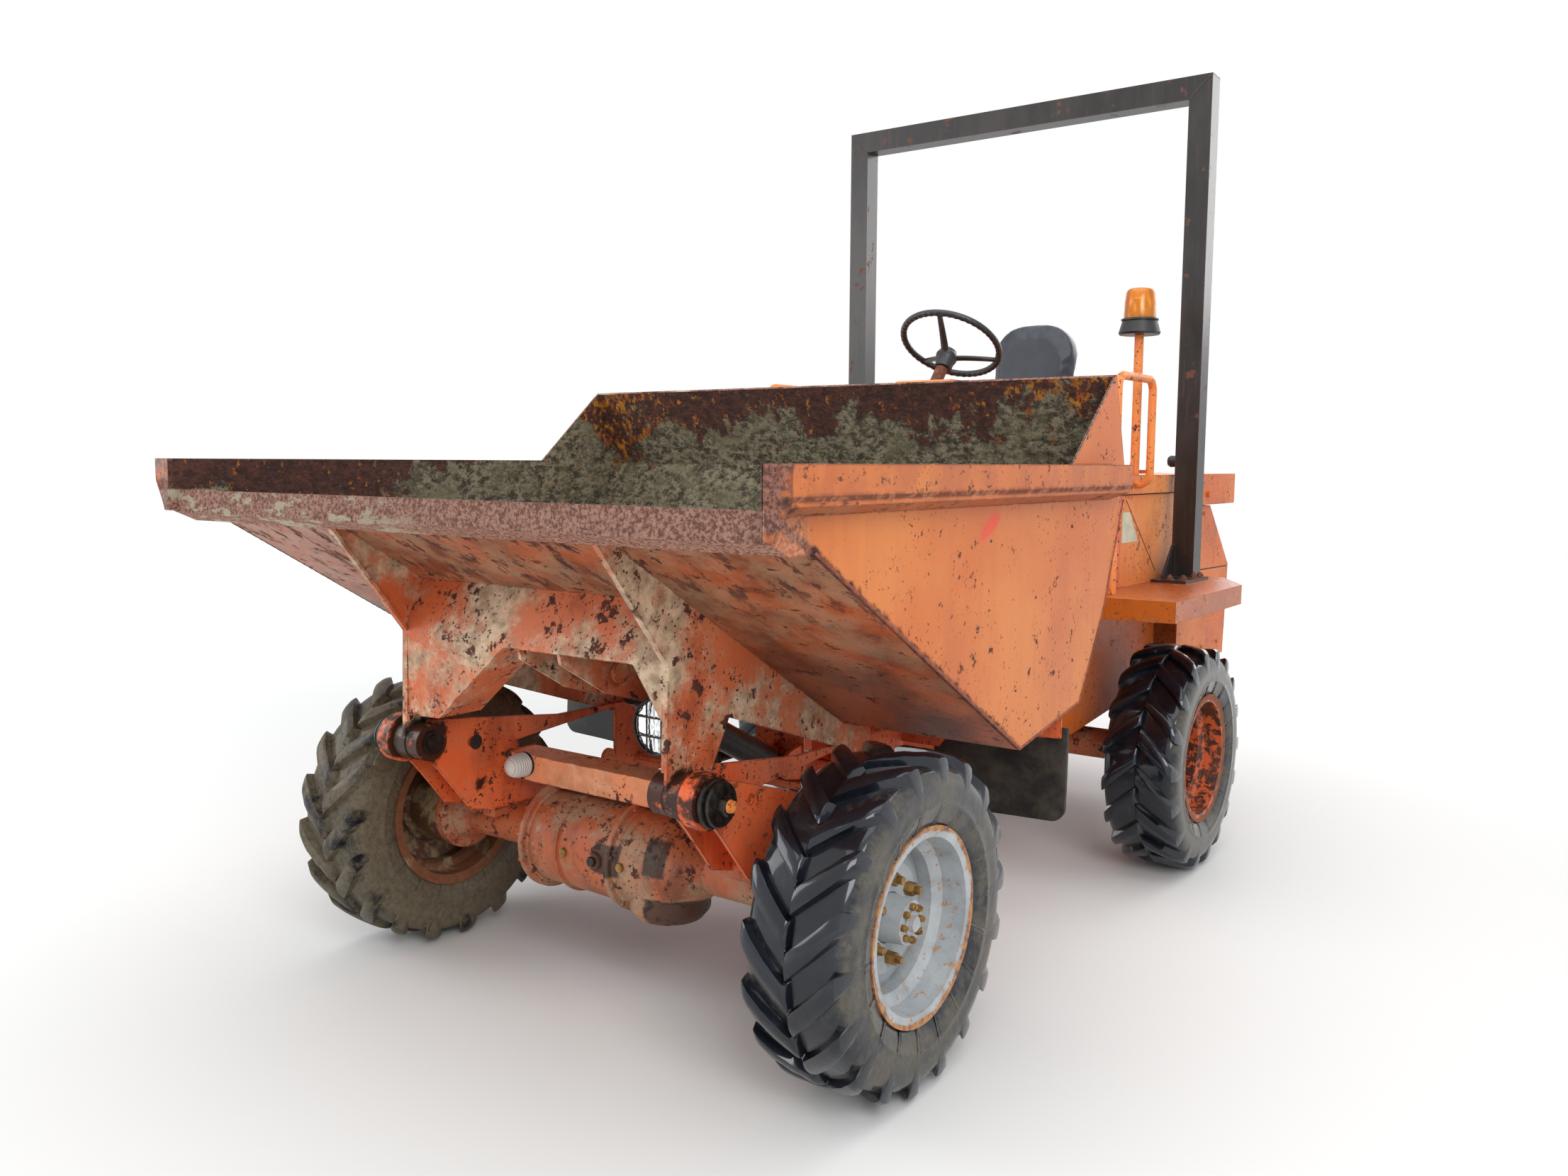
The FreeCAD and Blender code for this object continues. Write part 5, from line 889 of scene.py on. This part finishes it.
def axleCasing(s):
    flanges = [stand((x, *axleLine), (1, 0, 0)) for x in s["flangesAt"]]
    copies("casing_flanges", turnedMillimetres(s["flange"], 64), flanges, axlePaint, frontBody)
    rib = [stand((s["ribAt"], *axleLine), (1, 0, 0))]
    copies("casing_ribs", turnedMillimetres(s["rib"], 64), rib, axlePaint, frontBody)
    r = s["boltCircle"]
    flangeBolts = [
        stand((x, frontY + r * math.sin(a), axleZ + r * math.cos(a)), (out, 0, 0), 11 * a)
        for x, out in s["boltFaces"] for a in np.arange(12) * math.pi / 6 + 0.2
    ]
    copies("casing_bolts", hexShape(0.013, 0.009, 0.003), flangeBolts, axlePaint, frontBody)
    out = Vector((0.0, -1.0, 0.05)).normalized()
    spots = [Vector((x, *axleLine)) + out * s["plugOut"] for x in s["plugsAt"]]
    copies("casing_bosses", bossShape(0.026, 0.012, 24), [stand(spots[0], out)], axlePaint, frontBody)
    copies("casing_plugs", hexShape(0.026, 0.010), [stand(spots[0] + out * 0.012, out)], greasy, frontBody)
    copies("casing_screws", bossShape(0.013, 0.010, 16), [stand(p, out) for p in spots[1:]], nutSteel, frontBody)
    x, r, z = s["bowl"]
    bowlBolts = [
        stand((x + r * math.sin(a), frontY + r * math.cos(a), z), (math.sin(a) * 0.7, math.cos(a) * 0.7, -0.7))
        for a in np.arange(10) * math.pi / 5
    ]
    copies("bowl_bolts", hexShape(0.013, 0.008), bowlBolts, axlePaint, frontBody)
    r = s["hubCircle"]
    for body, y in ((frontBody, frontY), (rearBody, rearY)):
        hubBolts = [
            stand((side * s["hubFace"], y + r * math.sin(a), axleZ + r * math.cos(a)), (-side, 0, 0), 9 * a)
            for side in (1, -1) for a in np.arange(10) * math.pi / 5
        ]
        copies(body + "_hub_bolts", hexShape(0.015, 0.010, 0.004), hubBolts, axlePaint, body)


axleCasing(casingSettings)

# bolts of the body, each row: (x, y, z) on the left side, mirrored to the right
boltSettings = {
    "foot": [(0.842, 0.982, 1.101), (0.790, 0.975, 1.101), (0.848, 1.170, 1.101), (0.848, 1.090, 1.101)],
    "hull": [(0.700, 1.40, 1.34), (0.700, 1.66, 1.34), (0.700, 1.40, 0.74), (0.700, 1.70, 0.74), (0.700, 1.92, 0.74)],
    "box": [(x, 0.612, z) for x in (0.25, 0.66) for z in (1.13, 1.30, 1.47)],
    "seat": [(0.19, 1.345, 1.590), (0.19, 1.372, 1.590)],
    "latch": [(0.714, 1.500, 1.470)],
    "flap": [(0.66, -0.5560, 0.765), (0.80, -0.5560, 0.765), (0.94, -0.5560, 0.775)],
    "strip": [(0.7035, 0.634, z) for z in np.linspace(1.115, 1.415, 7)],
}


# places of a row on both sides; an axis of None looks outboard
def mirrored(row, axis=None, spin=0.0):
    spots = [(side, (side * x, y, z)) for side in (1, -1) for x, y, z in boltSettings[row]]
    return [stand(spot, axis or (side, 0, 0), spin) for side, spot in spots]


copies("roll_bar_bolts", hexShape(0.022, 0.014, 0.006), mirrored("foot", (0, 0, 1), 13), rustySteel, rearBody)
copies("roll_bar_washers", bossShape(0.019, 0.003, 20), mirrored("foot", (0, 0, 1)), rustySteel, rearBody)
copies("hull_bolts", hexShape(0.014, 0.007), mirrored("hull", None, 20), fadedOrange, rearBody)
copies("seat_box_bolts", hexShape(0.014, 0.007), mirrored("box", (0, -1, 0), 20), fadedOrange, rearBody)
copies("seat_pan_bolts", hexShape(0.012, 0.006), mirrored("seat", (0, 0, 1)), rustySteel, rearBody)

# latch on the rail behind the post with its lever, and the pale sticker that has lost its print
latch = turnedMillimetres([(13, 0), (13, 10), (6, 12), (6, 20), (0, 20)], 16)
copies("rail_latch", latch, mirrored("latch"), blackPlastic, rearBody)
leverPath = [(0.731, 1.500, 1.470), (0.734, 1.520, 1.474), (0.734, 1.545, 1.482)]
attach(carried("rail_latch_lever", leverPath, roundSection(0.0045), blackPlastic), rearBody)
u, w = (a.reshape(-1) for a in np.meshgrid(np.linspace(0, 1, 7), np.linspace(0, 1, 5), indexing="ij"))
curl = 0.7008 + 0.0002 * np.sin(u * 9 + w * 5)
stickerPoints = np.stack([curl, 0.676 + (0.075 + 0.10 * (1 - w)) * u, 1.256 + 0.117 * w], 1)
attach(meshObject("blank_sticker", stickerPoints, gridQuads(7, 5), stickerLook), rearBody)

# painted shadow: dark strips along the gaps round the side doors and under the hull's panel, with a line of (y, z)
# points each
gapSettings = {
    "width": 0.0055, "proud": 0.0006, "side": 0.700,
    "lines": [
        [(0.712, 1.420), (0.880, 1.279), (1.062, 1.126)],
        [(0.640, 1.4395), (1.10, 1.4395), (1.575, 1.4395)],
        [(1.400, 1.0935), (1.72, 1.0900), (2.030, 1.0850)],
    ],
}


# flat strips a fraction of a millimetre proud: point = line + across * (-1, -1/2, 1/2, 1), the middle two raised
def paintGapShadows(s):
    points, quads = [], []
    for side in (1, -1):
        for line in s["lines"]:
            line = np.array(line)
            along = line[-1] - line[0]
            across = np.array([-along[1], along[0]]) / np.linalg.norm(along) * s["width"] / 2
            edges = line[:, None] + across * np.array([-1, -0.5, 0.5, 1])[None, :, None]
            out = s["side"] + s["proud"] * np.array([0, 1, 1, 0])
            x = side * np.repeat(out[None], len(line), 0)
            quads.append(gridQuads(len(line), 4)[:, ::-side] + sum(len(p) for p in points))
            points.append(np.concatenate([x[..., None], edges], 2).reshape(-1, 3))
    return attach(meshObject("panel_gap_shadows", np.concatenate(points), np.concatenate(quads), paintedShadowLook), rearBody)


paintGapShadows(gapSettings)


# box from its low and high corners: the eight corners as a grid of two by two by two, edges eased by a bevel
def slab(name, low, high, material, body, ease=0.001):
    x, y, z = zip(low, high)
    points = np.array([(a, b, c) for a in x for b in y for c in z], float)
    quads = np.array([(0, 1, 3, 2), (4, 6, 7, 5), (0, 4, 5, 1), (2, 3, 7, 6), (0, 2, 6, 4), (1, 5, 7, 3)])
    piece = meshObject(name, points, quads, material)
    soft = piece.modifiers.new("eased", "BEVEL")
    soft.width, soft.segments, soft.limit_method = ease, 2, "ANGLE"
    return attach(piece, body)


# four (y, z) corners drawn out between two x, as a prism of six faces
def prism(name, xs, corners, faces, material, body):
    points = np.array([(x, y, z) for x in xs for y, z in corners], float)
    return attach(meshObject(name, points, np.array(faces), material), body)


# the side wall's front edge leans back from the rail's end plate: a weld-filled wedge closes the slot
wedgeLine = [(-2.0598, 1.4085), (-2.0598, 1.5545), (-2.0590, 1.5545), (-2.0455, 1.4085)]
wedgeFaces = np.array([(0, 3, 2, 1), (4, 5, 6, 7), (0, 1, 5, 4), (1, 2, 6, 5), (2, 3, 7, 6), (3, 0, 4, 7)])
for side, where in ((1, "left"), (-1, "right")):
    xs = (side * 1.0460, side * 1.0534)
    prism("rail_wedge_" + where, xs, wedgeLine, wedgeFaces[:, ::side], skipPaint, skipBody)
    xs = sorted((side * 0.7005, side * 0.7035))
    slab("corner_strip_" + where, (xs[0], 0.6135, 1.092), (xs[1], 0.655, 1.436), redOrange, rearBody)
copies("corner_strip_rivets", bossShape(0.0045, 0.002, 10), mirrored("strip"), rustySteel, rearBody)
slab("beacon_foot", (0.6895, 0.745, 1.5145), (0.6945, 0.800, 1.530), bleachedAndLitOrange, rearBody)
gussetLine = [(0.8000, 1.530), (0.7500, 1.530), (0.8000, 1.610), (0.7950, 1.610)]
gussetFaces = [(0, 2, 3, 1), (4, 5, 7, 6), (0, 1, 5, 4), (1, 3, 7, 5), (3, 2, 6, 7), (2, 0, 4, 6)]
prism("beacon_gusset", (0.6895, 0.6945), gussetLine, gussetFaces, bleachedAndLitOrange, rearBody)
# a dark disc on the frame's side plate stands for a hole through it: painted shade, the plate is not cut
hole = turnedMillimetres([(22.5, 0), (22.5, 0.8), (19, 1), (0, 1)], 28)
copies("frame_hole_shadow_disc", hole, [stand((-0.4612, -1.470, 0.716), (1, 0, 0))], paintedShadowLook, frontBody)
print("small steel made")

# ---- weld beads, each run (start, end, way out)

sides = (1, -1)
skipFolds = [(-1.893, 1.382), (-0.934, 0.813), (-0.548, 0.878), (-0.380, 1.142), (-0.256, 1.450)]
foldPairs = list(zip(skipFolds, skipFolds[1:]))
skipRuns = [((s * 1.0525, *a), (s * 1.0525, *b), (s, 0, 0.2)) for s in sides for a, b in foldPairs]
weldBead("skip_welds", skipRuns, 0.009, wornWeld, skipBody)

# roll bar: mitres on the front and back faces, the top corners, then the feet
postIn, postOut, postTop, postWide, deckTop = 0.743, 0.833, 3.070, 0.090, 1.101
barRuns = [
    ((s * postIn, y, postTop - postWide), (s * (postOut - 0.003), y, postTop - 0.003), (0, out, 0))
    for s in sides for y, out in ((1.1252, -1), (1.2148, 1))
]
inset = 0.0024
barRuns += [
    ((s * (postOut - inset), 1.125, postTop - inset), (s * (postOut - inset), 1.215, postTop - inset), (s, 0, 1))
    for s in sides
]
barRuns += [((s * postIn, 1.1245, deckTop), (s * postOut, 1.1245, deckTop), (0, -1, 1)) for s in sides]
barRuns += [((s * 0.8335, 1.125, deckTop), (s * 0.8335, 1.215, deckTop), (s, 0, 1)) for s in sides]
weldBead("roll_bar_welds", barRuns, 0.008, rollBlack, rearBody)

deckZ, boxFront = 1.0895, 0.6115
deckRuns = [((s * 0.700, 0.70, deckZ), (s * 0.700, 1.34, deckZ), (s, 0, 1)) for s in sides]
deckRuns += [((a, boxFront, deckZ), (b, boxFront, deckZ), (0, -1, 1)) for a, b in ((-0.69, -0.13), (0.13, 0.69))]
weldBead("deck_welds", deckRuns, 0.007, fadedOrange, rearBody)

beamX = 0.4615
frameRuns = [((s * beamX, -1.341, 0.664), (s * beamX, -1.231, 0.664), (-s, 0, 1)) for s in sides]
frameRuns += [((s * beamX, -1.3415, 0.590), (s * beamX, -1.3415, 0.660), (-s, -1, 0)) for s in sides]
weldBead("beam_welds", frameRuns, 0.008, redOrange, frontBody)
print("welds made")

# ---- flaps

flapSettings = {
    "inner": 0.584, "outer": 1.024, "top": 0.795, "drop": (0.300, 0.278), "corner": 0.045, "back": -0.5433,
    "thick": 0.0085, "columns": 40, "rows": 30, "edge": 0.012,
}


# Rubber flap: a sheet between two faces that close at its side edges (root of 1 - square), wavy by a few millimetres
# (two sines growing down the sheet), its lower outer corner a quarter circle
def wheelFlap(side, s):
    across = np.linspace(s["edge"], 1 - s["edge"], s["columns"] - 6)
    u = np.concatenate([[0, 0.001, 0.004], across, [0.996, 0.999, 1]])[None]
    x = s["inner"] + (s["outer"] - s["inner"]) * u
    drop = s["drop"][0] + (s["drop"][1] - s["drop"][0]) * u
    past = np.clip(x - (s["outer"] - s["corner"]), 0, s["corner"])
    drop = drop - (s["corner"] - np.sqrt(s["corner"] ** 2 - past ** 2))
    edge = np.sqrt(np.clip(1 - (1 - np.minimum(np.minimum(u, 1 - u) / s["edge"], 1)) ** 2, 0, 1))
    v = np.concatenate([np.linspace(0, 1, s["rows"]), np.linspace(1, 0, s["rows"])])[:, None]
    face = np.concatenate([np.ones(s["rows"]), -np.ones(s["rows"])])[:, None]
    wave = v ** 1.5 * (0.0035 * np.sin(u * 7.0 + 1.0) + 0.0020 * np.sin(u * 3.0 + v * 5.0))
    y = s["back"] - face * s["thick"] / 2 * edge - wave
    points = np.stack([side * x * np.ones_like(v), y, s["top"] - drop * v], 2)
    quads = gridQuads(len(v), u.shape[1], wrapRows=True)[:, ::side]
    flap = meshObject("wheel_flap_" + ("left" if side > 0 else "right"), points, quads, flapRubber, 40.0)
    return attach(flap, frontBody)


flaps = [wheelFlap(side, flapSettings) for side in sides]
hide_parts("wheel_flaps")
copies("flap_bolts", hexShape(0.018, 0.009, 0.005), mirrored("flap", (0, -1, 0), 10), bleachedAndLitOrange, frontBody)
print("flaps made")

# ---- steering wheel

helmSettings = {
    "hub": (0.0, 0.553, 1.970), "tilt": 33.0, "rise": 0.070, "radius": 0.197, "grip": 0.0130,
    "spokes": (35.0, 150.0, 280.0), "rimSteps": 240, "gripSteps": 16, "fingers": 48, "thick": 0.0065,
    "boss": [(0, -50), (34, -50), (36, -20), (42, -4), (44, 10), (40, 20), (34, 26), (34, 32), (28, 38), (0, 41)],
}


# Rim: a ring, point = ((R + r cos b) cos a, (R + r cos b) sin a, r sin b), whose r swells into finger grips on its
# underside; three flat spokes of eight corners narrow as they rise to it from a dished hub
def steeringWheel(s):
    body = "steering_wheel"
    tilted = np.array(Matrix.Translation(s["hub"]) @ Matrix.Rotation(-math.radians(s["tilt"]), 4, "X"))
    around = np.arange(s["rimSteps"]) * 2 * np.pi / s["rimSteps"]
    section = np.arange(s["gripSteps"]) * 2 * np.pi / s["gripSteps"]
    a, b = np.meshgrid(around, section, indexing="ij")
    swell = s["grip"] * (1 + 0.10 * np.clip(-np.sin(b), 0, 1) * np.cos(a * s["fingers"]))
    out = s["radius"] + swell * np.cos(b)
    ring = np.stack([out * np.cos(a), out * np.sin(a), s["rise"] + swell * np.sin(b)], 2)
    ringQuads = gridQuads(s["rimSteps"], s["gripSteps"], wrapRows=True, wrapColumns=True)
    rim = copies("steering_rim", (ring, ringQuads), [tilted], wheelRim, body, 50.0)
    t = np.linspace(0, 1, 12)[:, None]
    along = 0.022 + (s["radius"] - 0.026) * t
    lift = 0.006 + (s["rise"] - 0.008) * (t ** 0.8)
    half = 0.016 - 0.006 * t
    flat = np.array([(-1, -0.3), (-0.7, -1), (0.7, -1), (1, -0.3), (1, 0.3), (0.7, 1), (-0.7, 1), (-1, 0.3)])
    spoke = np.stack([np.repeat(along, 8, 1), half * flat[:, 0], lift + s["thick"] * flat[:, 1]], 2)
    turns = [tilted @ np.array(Matrix.Rotation(math.radians(degrees), 4, "Z")) for degrees in s["spokes"]]
    copies("steering_spokes", (spoke, gridQuads(12, 8, wrapColumns=True)), turns, wheelRim, body, 50.0)
    copies("steering_hub", turnedMillimetres(s["boss"], 40), [tilted], wheelRim, body, 35.0)
    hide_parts("steering_wheel")


steeringWheel(helmSettings)
print("steering wheel made")

# ---- seat

seatSettings = {
    "voxel": 0.006, "shrink": 0.988, "smooth": 8, "pressure": 4.0, "stretch": 40, "shear": 20, "bend": 8,
    "mass": 0.3, "frames": 20, "travel": 0.024, "settle": 10,
}


# the piece's points as rows of x, y, z
def pointRows(piece):
    co = np.zeros(len(piece.data.vertices) * 3)
    piece.data.vertices.foreach_get("co", co)
    return co.reshape(-1, 3)


# the evaluated mesh takes the place of the object's own, and its modifiers go
def bake(piece):
    bpy.context.view_layer.update()
    made = bpy.data.meshes.new_from_object(piece.evaluated_get(bpy.context.evaluated_depsgraph_get()))
    piece.modifiers.clear()
    piece.data = made


def soften(piece, rounds):
    relax = piece.modifiers.new("relax", "SMOOTH")
    relax.factor, relax.iterations = 0.5, rounds


# Cushion: the CAD pad remeshed, smoothed a little and blown up as cloth. Each point's move is cut to the stated
# travel: moved * min(1, travel / length)
def cushion(node, s, name):
    data = nodes[node].data.copy()
    low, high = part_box(node)
    centre = np.array((low + high) / 2)
    piece = bpy.data.objects.new(name, data)
    scene.collection.objects.link(piece)
    data.vertices.foreach_set("co", ((pointRows(piece) - centre) * s["shrink"] + centre).reshape(-1))
    remesh = piece.modifiers.new("voxels", "REMESH")
    remesh.mode, remesh.voxel_size = "VOXEL", s["voxel"]
    soften(piece, s["smooth"])
    bake(piece)
    rest = pointRows(piece)
    cloth = piece.modifiers.new("cloth", "CLOTH")
    fabric = cloth.settings
    fabric.quality, fabric.mass = 5, s["mass"]
    fabric.use_pressure, fabric.uniform_pressure_force = True, s["pressure"]
    fabric.tension_stiffness = fabric.compression_stiffness = s["stretch"]
    fabric.shear_stiffness, fabric.bending_stiffness = s["shear"], s["bend"]
    fabric.effector_weights.gravity = 0
    cloth.point_cache.frame_start, cloth.point_cache.frame_end = 1, s["frames"]
    for step in range(1, s["frames"] + 1):
        scene.frame_set(step)
    bake(piece)
    scene.frame_set(1)
    moved = pointRows(piece) - rest
    length = np.linalg.norm(moved, axis=1, keepdims=True)
    moved *= np.minimum(1, s["travel"] / np.maximum(length, 1e-9))
    piece.data.vertices.foreach_set("co", (rest + moved).reshape(-1))
    soften(piece, s["settle"])
    bake(piece)
    piece.data.materials.clear()
    piece.data.materials.append(seatVinyl)
    piece.data.shade_smooth()
    finer = piece.modifiers.new("finer", "SUBSURF")
    finer.levels = finer.render_levels = 1
    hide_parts(node)
    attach(piece, rearBody)


cushion("seat_cushion", seatSettings, "seat_base_pad")
cushion("seat_back", seatSettings, "seat_back_pad")
print("seat made")


# ---- floor and light

# 1 for a ray that sees the backdrop straight, in a reflection or through glass, so no light falls on the object
def seenRay(tree):
    rays = addNode(tree, ("LightPath", {})).outputs
    bent = addNode(tree, most, rays["Is Glossy Ray"], rays["Is Transmission Ray"]).outputs[0]
    return addNode(tree, most, rays["Is Camera Ray"], bent).outputs[0]


# a pale floor that grows white from 2.5 m to 9 m away, where it meets the backdrop
floorSettings = {"half": 20, "tone": "#DCDBD8", "from": 2.5, "to": 9.0, "glow": 0.55}
floorLook = Look("pale_studio_floor", 0.85, sockets={"Emission Color": "#FFFFFF"})
away = floorLook.add(ramp, floorLook.reach(0.0, 0.0, 0.0), floorSettings["from"], floorSettings["to"])
glow = floorLook.chain(times, away, floorSettings["glow"], seenRay(floorLook.tree))
floorLook.tree.links.new(glow, floorLook.shader.inputs["Emission Strength"])
half = floorSettings["half"]
floorPoints = np.array([[-half, -half, 0], [half, -half, 0], [half, half, 0], [-half, half, 0]], float)
floorLook.finish(floorSettings["tone"])
meshObject("studio_floor", floorPoints, np.array([[0, 1, 2, 3]]), floorLook.material)

lightSettings = {
    "sky": {"spot": (0.5, -1.0, 6.5), "aim": (0, -0.2, 0.8), "size": (7.0, 7.0), "power": 260},
    "key": {"spot": (4.8, -4.6, 4.2), "aim": (0, -0.4, 1.0), "size": (3.2, 3.2), "power": 235},
    "fill": {"spot": (-5.0, -4.0, 3.0), "aim": (0, -0.5, 1.0), "size": (4.0, 3.0), "power": 130},
    "back": {"spot": (1.0, 6.0, 4.0), "aim": (0, 0.5, 1.2), "size": (5.0, 3.0), "power": 160},
}
for name, s in lightSettings.items():
    data = bpy.data.lights.new(name, "AREA")
    data.shape = "RECTANGLE"
    data.size, data.size_y = s["size"]
    data.energy = s["power"]
    lamp = bpy.data.objects.new(name, data)
    lamp.location = s["spot"]
    lamp.rotation_euler = (Vector(s["aim"]) - Vector(s["spot"])).to_track_quat("-Z", "Y").to_euler()
    scene.collection.objects.link(lamp)

world = bpy.data.worlds.new("studio")
scene.world = world
world.use_nodes = True
worldTree = world.node_tree
plain = worldTree.nodes["Background"]
plain.inputs["Color"].default_value = linear("#DDE2E8")
plain.inputs["Strength"].default_value = 0.85
white = addNode(worldTree, ("Background", {}), "#FFFFFF", 1.0)
both = addNode(worldTree, ("MixShader", {}), seenRay(worldTree), plain.outputs[0], white.outputs[0])
worldTree.links.new(both.outputs[0], worldTree.nodes["World Output"].inputs["Surface"])
